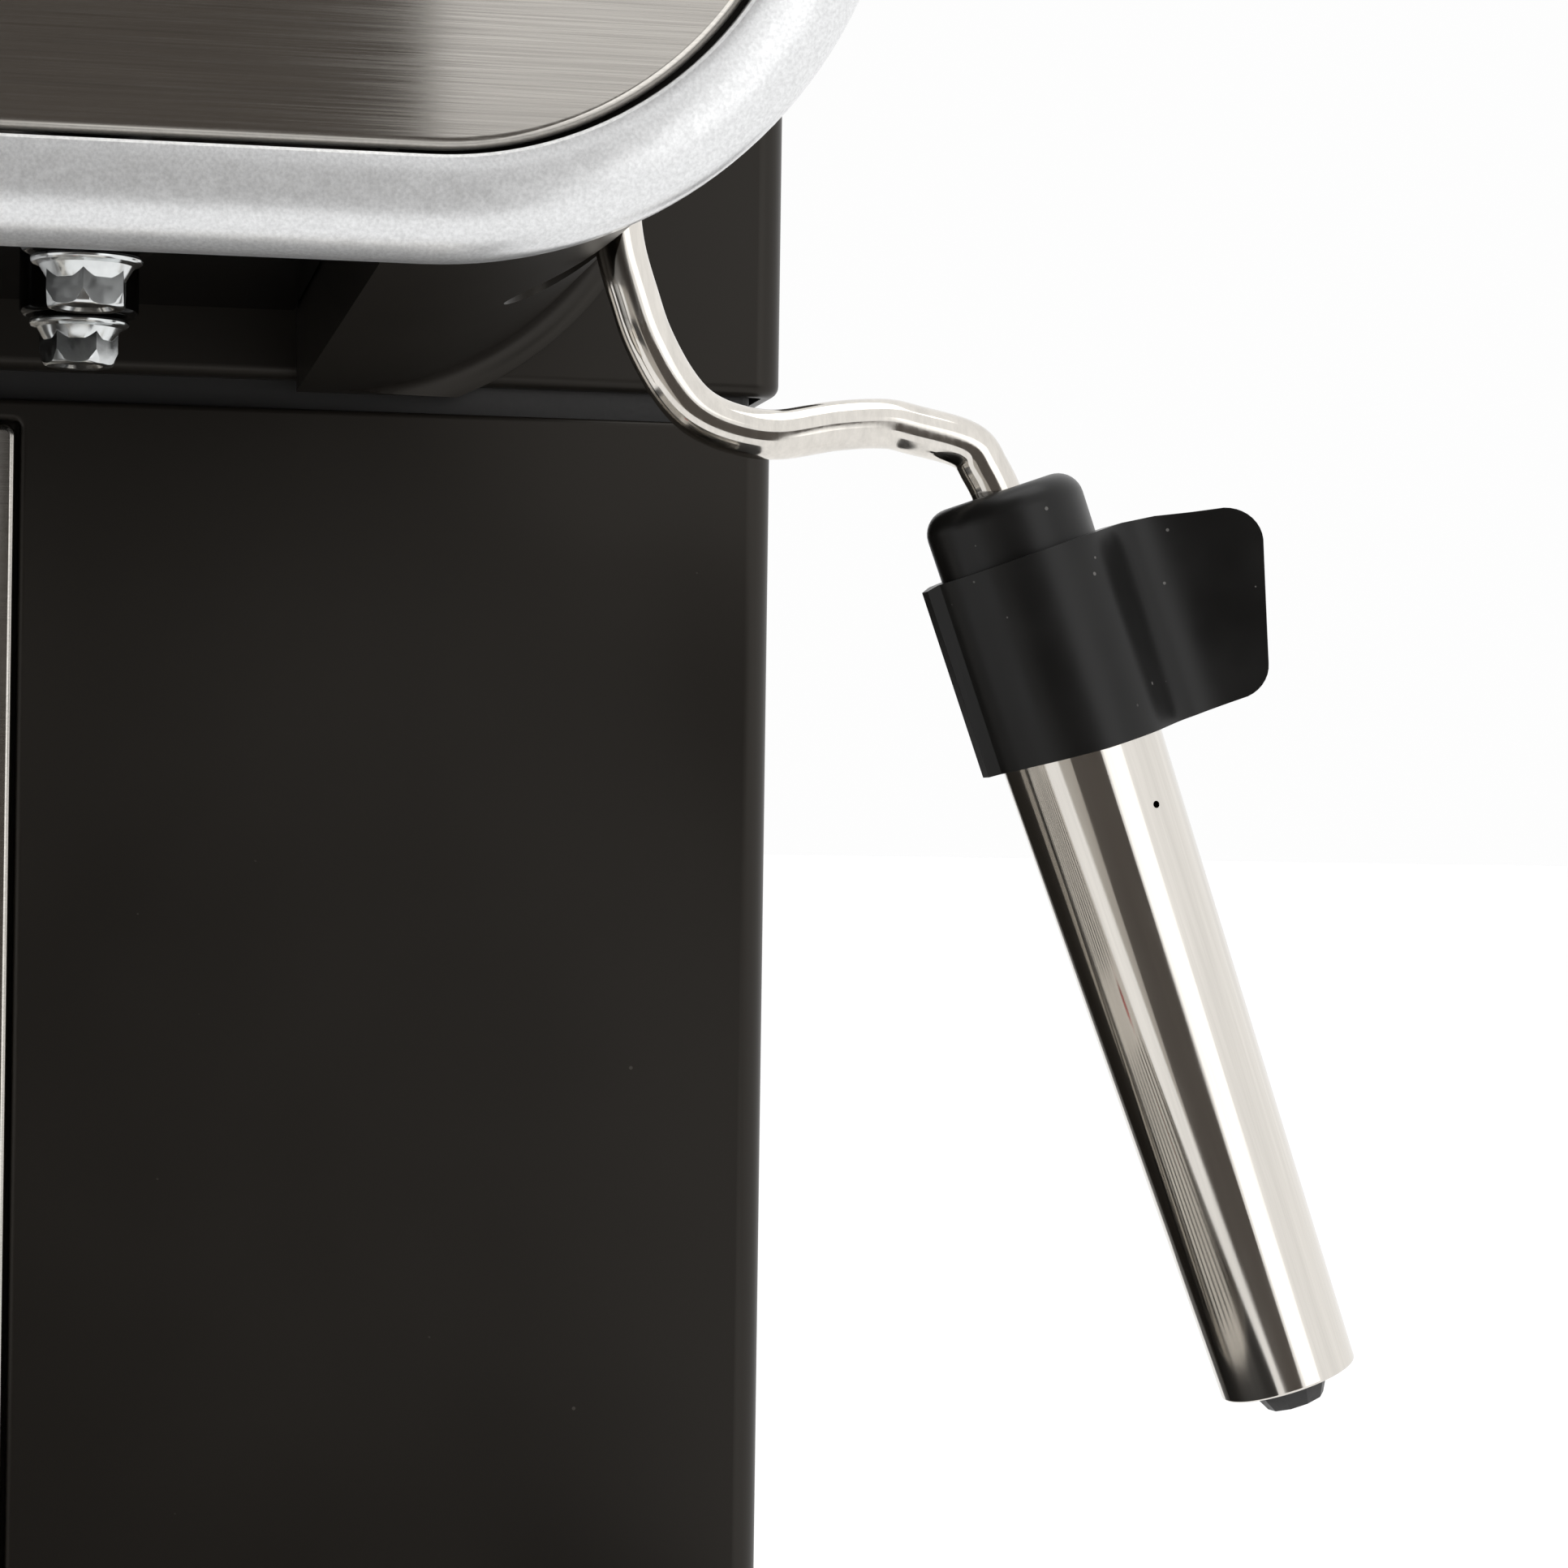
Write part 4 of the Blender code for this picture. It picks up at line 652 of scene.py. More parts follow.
class ESPRESSO_OT_finishes(bpy.types.Operator):
    """Makes the materials and gives them to the frame's own nodes"""
    bl_idname = "espresso.finishes"
    bl_label = "Finishes"

    def execute(self, context):
        for make in (make_silver_paint, make_brushed_steel, make_polished_steel, make_dark_paint,
                     make_rubber):
            make(context.scene.espresso_finishes)
        for make in (make_gloss_black, make_black_plastic, make_plain_metals, make_small_finishes):
            make()
        for name, nodes in KEPT_NODES.items():
            for node in nodes:
                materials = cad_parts[node].data.materials
                materials.clear()
                materials.append(MATERIALS[name])
        return {"FINISHED"}


# ---- head

class ESPRESSO_OT_bezel(bpy.types.Operator):
    """Silver frame round the front plate, with its pillow section"""
    bl_idname = "espresso.bezel"
    bl_label = "Bezel"

    def execute(self, context):
        steps = context.scene.espresso_details.bezel_steps
        low, high = span("bezel")
        back, rise = (high.y - low.y) * 0.2, (high.y - low.y) * 0.8
        ring, crown, corner, fullness = 10.0, 8.9, 48.6, 0.95
        piece = slab(high.x - low.x, high.z - low.z, back, corner, 40)
        activate(piece)
        enter_edit()
        pick("FACE", lambda c: c.z > back - 0.01)
        turns = [math.radians(90.0 * step / steps) for step in range(steps + 1)]
        section = [(crown * (1.0 - math.cos(turn) ** fullness), rise * math.sin(turn) ** fullness)
                   for turn in turns]
        section += [(ring - 0.45, rise - 0.15), (ring - 0.1, rise - 0.5), (ring, rise - 1.0),
                    (ring + 0.02, 1.2 - back)]
        inset_along(section)
        bpy.ops.mesh.delete(type="FACE")
        pick("FACE", lambda c: c.z < 0.01)
        bpy.ops.mesh.inset(thickness=(ring + 0.02) * MM, depth=0.0)
        bpy.ops.mesh.delete(type="FACE")
        bpy.ops.mesh.select_mode(type="EDGE")
        bpy.ops.mesh.select_all(action="DESELECT")
        bpy.ops.mesh.select_non_manifold()
        bpy.ops.mesh.bridge_edge_loops()
        tidy_mesh()
        piece = put(leave_edit(), facing(0.0, high.y, (low.z + high.z) / 2.0))
        finish(piece, "bezel_frame", "machine", "silver_paint", "bezel")
        return {"FINISHED"}


class ESPRESSO_OT_front_plate(bpy.types.Operator):
    """Brushed steel plate with the holes for the gauge and the buttons"""
    bl_idname = "espresso.front_plate"
    bl_label = "Front plate"

    def execute(self, context):
        roll = context.scene.espresso_details.plate_roll
        low, high = span("front_plate")
        middle, thick = (low + high) / 2.0, high.y - low.y
        piece = slab(high.x - low.x, high.z - low.z, thick, HEAD_CORNER - (HEAD_HIGH.x - high.x), 40)
        activate(piece)
        enter_edit()
        pick("EDGE", lambda c: c.z > thick - 0.01)
        bpy.ops.mesh.bevel(offset=roll * MM, segments=6, affect="EDGES", clamp_overlap=True)
        piece = put(leave_edit(), facing(0.0, high.y, middle.z))
        for name in ("gauge_case",) + BUTTONS:
            hole = middle_of(name)
            place = facing(hole.x, middle.y, hole.z)
            combine(piece, rod(half_width(name) + PLAY, -PAST, PAST, place, 96))
        finish(piece, "front_fascia", "machine", "brushed_steel", "front_plate")
        return {"FINISHED"}


class ESPRESSO_OT_head_shell(bpy.types.Operator):
    """Dark rounded head with a fillet against the housing, its recess and the wand's slot"""
    bl_idname = "espresso.head_shell"
    bl_label = "Head shell"

    def execute(self, context):
        fillet = context.scene.espresso_details.fillet
        low, high = HEAD_LOW, HEAD_HIGH
        skirt = 0.2
        piece = slab(high.x - low.x + 2.0 * fillet, high.z - low.z + 2.0 * fillet, skirt,
                     HEAD_CORNER + fillet, 48)
        activate(piece)
        enter_edit()
        pick("FACE", lambda c: c.z > skirt - 0.01)
        turns = [math.radians(9.0 * step) for step in range(11)]
        section = [(fillet * math.sin(turn), fillet * (1.0 - math.cos(turn))) for turn in turns]
        inset_along(section + [(fillet + 0.0001, high.y - low.y - skirt)])
        tidy_mesh()
        piece = put(leave_edit(), facing(0.0, high.y, (low.z + high.z) / 2.0))
        past = 3.0 * PAST
        for bottom, top in ((low.z - past, low.z), (high.z, high.z + past)):
            combine(piece, block((low.x - past, low.y - past, bottom),
                                 (high.x + past, high.y + past, top)))
        floor = RECESS_HIGH.z + FIT
        combine(piece, front_panel((low.x + HEAD_WALL, low.y - PAST, floor),
                                   (high.x - HEAD_WALL, high.y + PAST, high.z - HEAD_WALL), 41.0, 24))
        half = RECESS_HIGH.x + PLAY
        combine(piece, block((-half, low.y - PAST, low.z - PAST), (half, high.y + PAST, floor + PAST)))
        combine(piece, block((WAND_X - 12.5, WAND_Y - 6.5, low.z - PAST),
                             (WAND_X + 9.5, WAND_Y + 6.5, BALL_Z - 6.0), 6.45, 16))
        combine(piece, rod(3.5, high.z - HEAD_WALL - PAST, high.z + PAST, above("steam_stem"), 32))
        round_edges(piece, 0.35, 2, 40.0)
        finish(piece, "head_cover", "machine", "dark_shell", "head_shell")
        return {"FINISHED"}


class ESPRESSO_OT_recess_plate(bpy.types.Operator):
    """Gloss black lining of the recess with a boss behind each bolt"""
    bl_idname = "espresso.recess_plate"
    bl_label = "Recess plate"

    def execute(self, context):
        low, high = RECESS_LOW, RECESS_HIGH
        ceiling = HEAD_LOW.z + 11.2
        piece = block((low.x, low.y, ceiling), high)
        for name in BOLTS:
            foot = arc((9.0, ceiling - 2.0), 2.0, 90.0, 180.0, 5)
            rim = arc((6.2, low.z + 0.8), 0.8, 0.0, -90.0, 4)
            boss = [(0.0, ceiling + 1.0), (9.0, ceiling + 1.0)] + foot + rim + [(0.0, low.z)]
            combine(piece, lathe(boss, above(name), 48), "UNION")
        neck = half_width("group_collar") - 7.7
        combine(piece, rod(neck, ceiling - PAST, high.z + PAST, upright(0.0, 0.0), 64))
        finish(piece, "recess_lining", "machine", "black_gloss", "recess_plate")
        return {"FINISHED"}


class ESPRESSO_OT_bolts(bpy.types.Operator):
    """Zinc flange bolts under the head, each a hexagon with a round chamfer and a dished end"""
    bl_idname = "espresso.bolts"
    bl_label = "Group bolts"

    def execute(self, context):
        low, high = span(BOLTS[1])
        top, bottom = high.z, low.z
        deselect()
        bpy.ops.mesh.primitive_cylinder_add(
            vertices=6, radius=BOLT_FLATS / math.sqrt(3.0) * MM, depth=(top - bottom) * MM,
            location=(0.0, 0.0, (top + bottom) / 2.0 * MM))
        hexagon = bpy.context.object
        bpy.ops.object.transform_apply(location=True, rotation=True, scale=True)
        body = [(0.0, top + 1.0), (5.4, top + 1.0), (5.2, top - 2.4), (4.55, bottom + 1.5)]
        body += arc((3.55, bottom + 0.75), 0.75, 0.0, -90.0, 5)
        body += [(2.9, bottom + 0.12), (2.5, bottom + 0.5), (0.0, bottom + 0.62)]
        combine(hexagon, lathe(body, Matrix(), 96), "INTERSECT")
        flange = [(0.0, top), (5.6, top)] + arc((5.45, top - 0.45), 0.45, 60.0, -90.0, 5)
        flange += [(5.0, top - 1.1), (4.5, top - 1.9), (4.1, top - 2.6), (0.0, top - 2.6)]
        combine(hexagon, lathe(flange, Matrix(), 96), "UNION")
        round_edges(hexagon, 0.16, 3, 25.0)
        for name, turn in zip(BOLTS, (4.0, -5.0, 17.0, 26.0)):
            twin = copy_of(hexagon, above(name) @ turned(turn))
            finish(twin, name.replace("group_bolt", "flange_bolt"), "machine", "zinc", name,
                   angle=24.0)
        bpy.data.objects.remove(hexagon)
        return {"FINISHED"}


# ---- housing and column

class ESPRESSO_OT_housing(bpy.types.Operator):
    """Upper housing, column and the steel strip down the column's middle"""
    bl_idname = "espresso.housing"
    bl_label = "Housing and column"

    def execute(self, context):
        low, high = span("upper_housing")
        house = block(low, high, 4.0, 12)
        round_edges(house, 1.8, 6, 40.0)
        hollow(house, low, high, WALL, WALL, WALL, -WALL, WALL, 1.5, 4)
        combine(house, block((RECESS_LOW.x, low.y - WALL, RECESS_HIGH.z + 6.0),
                             (RECESS_HIGH.x, low.y + 2.0 * WALL, high.z - 14.0)))
        finish(house, "housing_cover", "machine", "dark_shell", "upper_housing")
        low, high = span("column_body")
        column = block(low, high, 4.0, 12)
        strip_low, strip_high = span("splash_strip")
        gap, front = 2.0 * FIT, low.y - strip_low.y - PAST
        hollow(column, strip_low, strip_high, -gap, front, -PLAY, -gap, -gap)
        round_edges(column, 0.9, 4, 40.0)
        hollow(column, low, high, WALL, 3.0 * WALL, WALL, -WALL, -WALL, 1.5, 4)
        finish(column, "column_cover", "machine", "dark_shell", "column_body")
        strip = front_panel(strip_low, strip_high, 1.5, 8)
        round_edges(strip, 0.9, 5, 40.0)
        finish(strip, "splash_panel", "machine", "brushed_steel", "splash_strip")
        return {"FINISHED"}


# ---- steam wand

class ESPRESSO_OT_wand_tube(bpy.types.Operator):
    """Polished steam tube from the ball down into the sleeve"""
    bl_idname = "espresso.wand_tube"
    bl_label = "Steam tube"

    def execute(self, context):
        bend = [(0.0, BALL_Z + 4.5 - HEAD_LOW.z), (0.2, 31.0), (0.6, 19.0), (1.4, 11.0), (3.4, 4.2),
                (5.1, -0.4), (8.0, -5.5), (11.2, -8.9), (15.6, -10.8), (21.0, -11.4),
                (28.2, -10.1), (34.3, -9.6), (38.0, -10.2)]
        route = [(WAND_X + x, WAND_Y, HEAD_LOW.z + z) for x, z in bend]
        place = on_wand()
        for across, down in ((-1.9, -6.6), (-0.6, -3.0), (0.0, 2.0), (0.0, 12.0), (0.0, TUBE_END)):
            route.append(tuple((place @ (Vector((across, 0.0, down)) * MM) - GROUP) / MM))
        piece = pipe(smooth(route, 8), TUBE_RADIUS, 14)
        finish(piece, "steam_tube", "wand", "polished_steel", "wand_tube")
        return {"FINISHED"}


class ESPRESSO_OT_wand_grip(bpy.types.Operator):
    """Rubber grip with its collar, the clamp lip on the left and the finger tab on the right"""
    bl_idname = "espresso.wand_grip"
    bl_label = "Wand grip"

    def execute(self, context):
        front = smooth([(-11.4, 2.7), (-10.7, 4.7), (-9.2, 7.2), (-6.6, 9.7), (-3.4, 11.2), (0.4, 11.7),
                        (4.0, 11.0), (7.0, 9.4), (9.6, 6.9), (11.7, 4.9), (14.2, 3.8), (17.2, 3.7),
                        (21.0, 4.5), (25.0, 5.9), (28.8, 7.6)], 5)
        back = smooth([(29.0, 4.4), (25.0, 2.4), (20.0, 0.4), (16.0, -1.2), (13.4, -3.2),
                       (11.2, -5.6), (8.4, -8.2), (4.6, -10.7), (0.4, -11.6), (-4.2, -10.9),
                       (-8.0, -8.4), (-10.6, -4.9), (-11.4, -2.6)], 5)
        lip = [(-12.7, -1.4), (-12.7, 1.5)]
        section = [tuple(point) for point in front + back] + lip
        body = cut_out(section, 4.0, 38.0)
        side = [(-13.0, 8.9), (-11.5, 8.5), (4.0, 8.3), (12.6, 8.4), (17.0, 8.9), (21.5, 9.9)]
        side += arc((23.7, 15.0), 4.6, -72.0, 10.0, 9)
        side += arc((20.6, 29.7), 4.0, 12.0, 84.0, 7)
        side += [(14.0, 33.8), (0.0, 33.5), (-8.8, 32.9), (-13.0, 32.8)]
        across = cut_out(side, -20.0, 20.0, FRONT)
        combine(body, across, "INTERSECT")
        collar = [(0.0, 0.0), (6.4, 0.0)] + arc((6.8, 3.2), 3.2, -90.0, 0.0, 9)
        collar += [(9.95, 9.2), (0.0, 9.2)]
        combine(body, lathe(collar, Matrix(), 96), "UNION")
        round_edges(body, 0.45, 4, 38.0)
        tube_bore = TUBE_RADIUS + FIT
        bore = [(0.0, -2.0), (tube_bore, -2.0), (tube_bore, 27.0), (10.5, 27.0), (10.5, 40.0),
                (0.0, 40.0)]
        combine(body, lathe(bore, Matrix(), 96))
        put(body, on_wand())
        finish(body, "rubber_grip", "wand", "rubber", "wand_grip", angle=40.0)
        return {"FINISHED"}


class ESPRESSO_OT_sleeve(bpy.types.Operator):
    """Polished frothing sleeve with its air hole, and the faceted nozzle inside it"""
    bl_idname = "espresso.sleeve"
    bl_label = "Frothing sleeve"

    def execute(self, context):
        place = on_wand()
        sides = context.scene.espresso_details.sleeve_steps
        top, bottom, neck = 27.3, 116.28, 3.6
        wall = [(neck, top), (9.9, top), (10.2, top + 0.3)]
        wall += arc((8.34, bottom - 0.33), 0.3, 0.0, 90.0, 4)
        wall += [(8.1, bottom), (7.9, bottom - 0.38), (9.4, top + 1.7), (neck, top + 1.7)]
        piece = lathe(wall, Matrix(), sides, True)
        air_hole = Matrix.Translation(Vector((4.3, 0.0, 42.1)) * MM) @ FRONT
        combine(piece, rod(0.45, -14.0, -6.0, air_hole, 24))
        put(piece, place)
        finish(piece, "milk_sleeve", "froth_sleeve", "polished_steel", "froth_sleeve",
               material="sleeve_steel")
        tip = [(0.0, TUBE_END + FIT), (4.8, TUBE_END + FIT), (4.8, 116.9), (4.4, 117.9), (3.6, 119.4),
               (1.0, 119.4), (0.9, 117.6), (0.0, 117.6)]
        nozzle = lathe(tip, turned(12.0), 10)
        round_edges(nozzle, 0.12, 2, 20.0)
        put(nozzle, place)
        finish(nozzle, "steam_nozzle", "wand", "black_plastic", "nozzle_tip", angle=12.0)
        return {"FINISHED"}


# ---- base and drip tray

class ESPRESSO_OT_base(bpy.types.Operator):
    """Base housing with the tray's pocket, the four feet and the power inlet"""
    bl_idname = "espresso.base"
    bl_label = "Base"

    def execute(self, context):
        low, high = span("base_housing")
        tray_low, tray_high = span("drip_tray")
        base = block(low, high, 14.0, 16)
        round_edges(base, 2.0, 5, 40.0)
        combine(base, block((tray_low.x - PLAY, low.y - PAST, tray_low.z - FIT),
                            (tray_high.x + PLAY, tray_high.y + PLAY, high.z + PAST)))
        tray_depth = tray_high.y + 3.0 - low.y
        hollow(base, low, high, WALL, tray_depth, WALL, -WALL, WALL, 11.5, 8)
        inlet_low, inlet_high = span("power_inlet")
        combine(base, block((inlet_low.x - FIT, high.y - 5.0, inlet_low.z - FIT),
                            (inlet_high.x + FIT, high.y + 5.0, inlet_high.z + FIT)))
        combine(base, rod(8.5, high.z - 2.0 * WALL, high.z + PAST, above("tank_valve")))
        finish(base, "base_cover", "machine", "black_plastic", "base_housing")
        self.feet()
        self.inlet(inlet_low, inlet_high)
        return {"FINISHED"}

    def feet(self):
        top = span(FEET[0])[1].z
        outline = [(0.0, 1.2), (5.5, 1.2), (6.0, 0.4)] + arc((8.6, 1.4), 1.4, -90.0, 0.0, 5)
        outline += [(9.85, top - 0.4), (9.5, top), (0.0, top)]
        foot = lathe(outline, Matrix(), 64)
        for name in FEET:
            twin = copy_of(foot, above(name))
            finish(twin, "rubber_" + name, "machine", "rubber", name)
        bpy.data.objects.remove(foot)

    def inlet(self, low, high):
        middle = (low + high) / 2.0
        inlet = front_panel(low, high, 1.0, 4)
        socket = slab(high.x - low.x - 5.0, high.z - low.z - 5.0, 16.0 + WALL, 3.0, 6)
        put(socket, facing(middle.x, high.y + WALL, middle.z))
        combine(inlet, socket)
        pins = []
        for across, lift in ((-7.0, -1.5), (0.0, 2.5), (7.0, -1.5)):
            pin = put(slab(2.0, 6.0, 13.0, 0.8, 4),
                      facing(middle.x + across, high.y - 4.0, middle.z + lift))
            round_edges(pin, 0.3, 2, 40.0)
            pins.append(pin)
        finish(inlet, "inlet_socket", "machine", "black_plastic", "power_inlet")
        finish(join(*pins), "inlet_pins", "machine", "zinc")


class ESPRESSO_OT_tray(bpy.types.Operator):
    """Drip tray, its slotted steel grate and the red float"""
    bl_idname = "espresso.tray"
    bl_label = "Drip tray"

    def execute(self, context):
        low, high = span("drip_tray")
        tray = block(low, high)
        round_edges(tray, 0.9, 4, 40.0)
        wall = 2.2
        hollow(tray, low, high, wall, 2.0 * wall, wall, wall, -wall, 6.0, 8)
        grip = put(slab(70.0, 9.0, 4.0, 4.4, 8), facing(0.0, low.y + 1.6, low.z + 14.0))
        combine(tray, grip)
        round_edges(tray, 0.3, 2, 50.0)
        finish(tray, "tray_body", "drip_tray", "black_plastic", "drip_tray")
        self.grate(context.scene.espresso_details.grate_slots)
        low, high = span("drip_float")
        dome = [(0.0, low.z), (6.0, low.z), (7.0, low.z + 1.0), (7.0, high.z - 2.0)]
        dome += arc((5.0, high.z - 2.0), 2.0, 15.0, 90.0, 6) + [(0.0, high.z)]
        finish(lathe(dome, above("drip_float"), 48), "float_button", "drip_float", "red_plastic",
               "drip_float")
        return {"FINISHED"}

    def grate(self, rows):
        low, high = span("drip_grate")
        grate = block(low, high, 3.0, 6)
        round_edges(grate, 0.6, 4, 40.0)
        pitch = (high.y - low.y) / (rows + 1)
        length = high.x - 25.0
        slot = slab(length, 5.0, 6.0, 2.45, 8)
        slot = put(slot, Matrix.Translation((0.0, 0.0, -3.0 * MM)))
        tools = []
        for row in range(rows):
            for side in (-1.0, 1.0):
                spot = upright(side * (15.0 + length / 2.0), low.y + pitch * (row + 1), high.z)
                tools.append(copy_of(slot, spot))
        bpy.data.objects.remove(slot)
        combine(grate, join(*tools))
        combine(grate, rod(7.5, low.z - PAST, high.z + PAST, above("drip_float")))
        finish(grate, "grate_sheet", "drip_grate", "brushed_steel", "drip_grate")


# ---- top, gauge and buttons

class ESPRESSO_OT_top(bpy.types.Operator):
    """Cup warmer with its rim, and the fluted steam knob"""
    bl_idname = "espresso.top"
    bl_label = "Cup warmer and knob"

    def execute(self, context):
        low, high = span("cup_warmer")
        warmer = block(low, high, 12.0, 12)
        wall = 1.8
        hollow(warmer, low, high, wall, wall, wall, wall, -PAST, 12.0 - wall)
        round_edges(warmer, 0.6, 3, 50.0)
        finish(warmer, "warmer_tray", "machine", "brushed_steel", "cup_warmer")
        low, high = span("steam_knob")
        radius, height = half_width("steam_knob"), high.z - low.z
        outline = [(0.0, 0.0), (radius - 0.8, 0.0), (radius, 0.8), (radius, 3.0),
                   (radius * 0.965, 3.6), (radius * 0.93, height - 3.0)]
        outline += arc((radius * 0.93 - 2.6, height - 2.6), 2.6, 10.0, 90.0, 6)
        outline += [(radius * 0.62, height - 0.1), (radius * 0.58, height - 0.7), (0.0, height - 0.9)]
        knob = lathe(outline, Matrix(), 128)
        flutes = context.scene.espresso_details.knob_flutes
        groove = lathe([(0.0, 4.2), (1.3, 4.2), (1.1, height + 2.0), (0.0, height + 2.0)],
                       Matrix.Translation(((radius + 0.35) * MM, 0.0, 0.0)), 24)
        cutters = [copy_of(groove, turned(360.0 * step / flutes)) for step in range(flutes)]
        bpy.data.objects.remove(groove)
        combine(knob, join(*cutters))
        round_edges(knob, 0.25, 2, 40.0)
        stem_high = span("steam_stem")[1].z + FIT - low.z
        combine(knob, rod(3.3, -PAST, stem_high, Matrix(), 32))
        put(knob, above("steam_knob", low.z))
        finish(knob, "knob_body", "steam_knob", "black_plastic", "steam_knob", angle=40.0)
        return {"FINISHED"}


class ESPRESSO_OT_controls(bpy.types.Operator):
    """Three push buttons and the pressure gauge with its dial, needle and lens"""
    bl_idname = "espresso.controls"
    bl_label = "Buttons and gauge"

    def execute(self, context):
        low, high = span("power_button")
        radius, depth = half_width("power_button"), high.y - low.y
        outline = [(0.0, 0.0), (radius, 0.0), (radius, depth - 1.2)]
        outline += arc((radius - 1.2, depth - 1.2), 1.2, 20.0, 90.0, 5)
        outline += [(radius - 2.4, depth - 0.05), (3.0, depth - 0.75), (0.0, depth - 0.9)]
        button = lathe(outline, Matrix(), 64)
        for name in BUTTONS:
            middle = middle_of(name)
            twin = copy_of(button, facing(middle.x, high.y, middle.z))
            finish(twin, name + "_cap", name, "polished_steel", name)
        bpy.data.objects.remove(button)
        self.gauge(context.scene.espresso_details.gauge_marks)
        return {"FINISHED"}

    def gauge(self, marks):
        low, high = span("gauge_case")
        depth, radius = high.y - low.y, half_width("gauge_case")
        middle = middle_of("gauge_case")
        place = facing(middle.x, high.y, middle.z)
        case = [(1.2, 0.0), (radius, 0.0), (radius, depth - 0.9)]
        case += arc((radius - 0.8, depth - 0.8), 0.8, 10.0, 170.0, 10)
        case += [(radius - 1.6, depth - 1.2), (radius - 1.6, 1.5), (1.2, 1.5)]
        finish(lathe(case, place, 128, True), "gauge_rim", "machine", "polished_steel",
               "gauge_case")
        face, level = half_width("gauge_dial"), high.y - span("gauge_dial")[0].y
        dial = lathe([(1.2, level - 1.0), (face, level - 1.0), (face, level), (1.2, level)],
                     place, 96, True)
        finish(dial, "gauge_face", "machine", "dial_paint", "gauge_dial")
        self.marks(place, marks, level)
        lens_low, lens_high = span("gauge_lens")
        back, front = high.y - lens_high.y, high.y - lens_low.y
        lens = lathe([(0.0, back), (face, back), (face, front - 0.5), (face - 2.0, front - 0.15),
                      (0.0, front)], place, 96)
        finish(lens, "gauge_glass", "machine", "lens_glass", "gauge_lens")
        needle = cut_out([(-9.9, -9.9), (-0.2, 1.6), (2.8, 2.8), (1.6, -0.2)], level + 0.8, level + 1.6,
                         place)
        pin = lathe([(0.0, 2.1), (0.9, 2.1), (0.9, level + 0.7), (2.6, level + 0.7),
                     (2.6, level + 1.5), (1.8, level + 2.1), (0.0, level + 2.2)], place, 32)
        combine(needle, pin, "UNION")
        finish(needle, "needle_blade", "gauge_needle", "red_plastic", "gauge_needle")

    def marks(self, place, count, level):
        """Strokes and numbers on the dial, over three quarters of a turn."""
        start, sweep, last = 225.0, 270.0, 15
        strokes = []
        for step in range(count):
            long = step % 5 == 0
            stroke = slab(3.0 if long else 1.6, 0.5 if long else 0.25, 0.12)
            reach = Vector((15.6 if long else 16.3, 0.0, level - 0.02)) * MM
            turn = turned(start - sweep * step / (count - 1))
            strokes.append(put(stroke, place @ turn @ Matrix.Translation(reach)))
        for number in range(0, last + 1, 5):
            deselect()
            bpy.ops.object.text_add()
            figure = bpy.context.object.data
            figure.body = str(number)
            figure.size = 4.6 * MM
            figure.extrude = 0.06 * MM
            figure.align_x = figure.align_y = "CENTER"
            bpy.ops.object.convert(target="MESH")
            enter_edit()
            tidy_mesh()
            turn = math.radians(start - sweep * number / last)
            spot = Vector((11.0 * math.cos(turn), 11.0 * math.sin(turn), level + 0.04)) * MM
            strokes.append(put(leave_edit(), place @ Matrix.Translation(spot)))
        finish(join(*strokes), "dial_print", "machine", "black_plastic", material="dial_marks")


# ---- brewing group

def wedge(middle, half, inner, outer, low, high):
    """Part of a ring round the group's axis, between two radii and heights, angles in degrees."""
    ring = arc((0.0, 0.0), outer, middle - half, middle + half, 8)
    ring += reversed(arc((0.0, 0.0), inner, middle - half, middle + half, 8))
    return cut_out(ring, low, high, upright(0.0, 0.0))



class ESPRESSO_OT_group(bpy.types.Operator):
    """Group collar with its notches for the portafilter's ears"""
    bl_idname = "espresso.group"
    bl_label = "Brewing group"

    def execute(self, context):
        low, high = span("group_collar")
        radius, bottom = high.x, low.z
        lip = 26.2
        outline = [(0.0, high.z), (radius - 8.0, high.z), (radius - 8.0, high.z - 4.5)]
        outline += arc((radius - 1.5, high.z - 6.0), 1.5, 90.0, 0.0, 5)
        outline += [(radius, bottom + 9.0), (radius - 0.7, bottom + 8.4), (radius - 0.7, bottom + 7.2),
                    (radius, bottom + 6.6)]
        outline += arc((radius - 1.0, bottom + 1.0), 1.0, 0.0, -90.0, 5)
        outline += [(lip + 0.4, bottom), (lip, bottom + 0.4), (lip, bottom + 6.0),
                    (radius - 2.5, bottom + 6.0), (radius - 2.5, bottom + 16.5), (0.0, bottom + 16.5)]
        collar = lathe(outline, upright(0.0, 0.0), 128)
        for middle in (-45.0, 135.0):
            combine(collar, wedge(middle, 22.0, lip - 2.0, radius - 2.5, bottom - 1.0, bottom + 7.0))
        finish(collar, "collar_casting", "machine", "aluminium", "group_collar", angle=40.0)
        return {"FINISHED"}


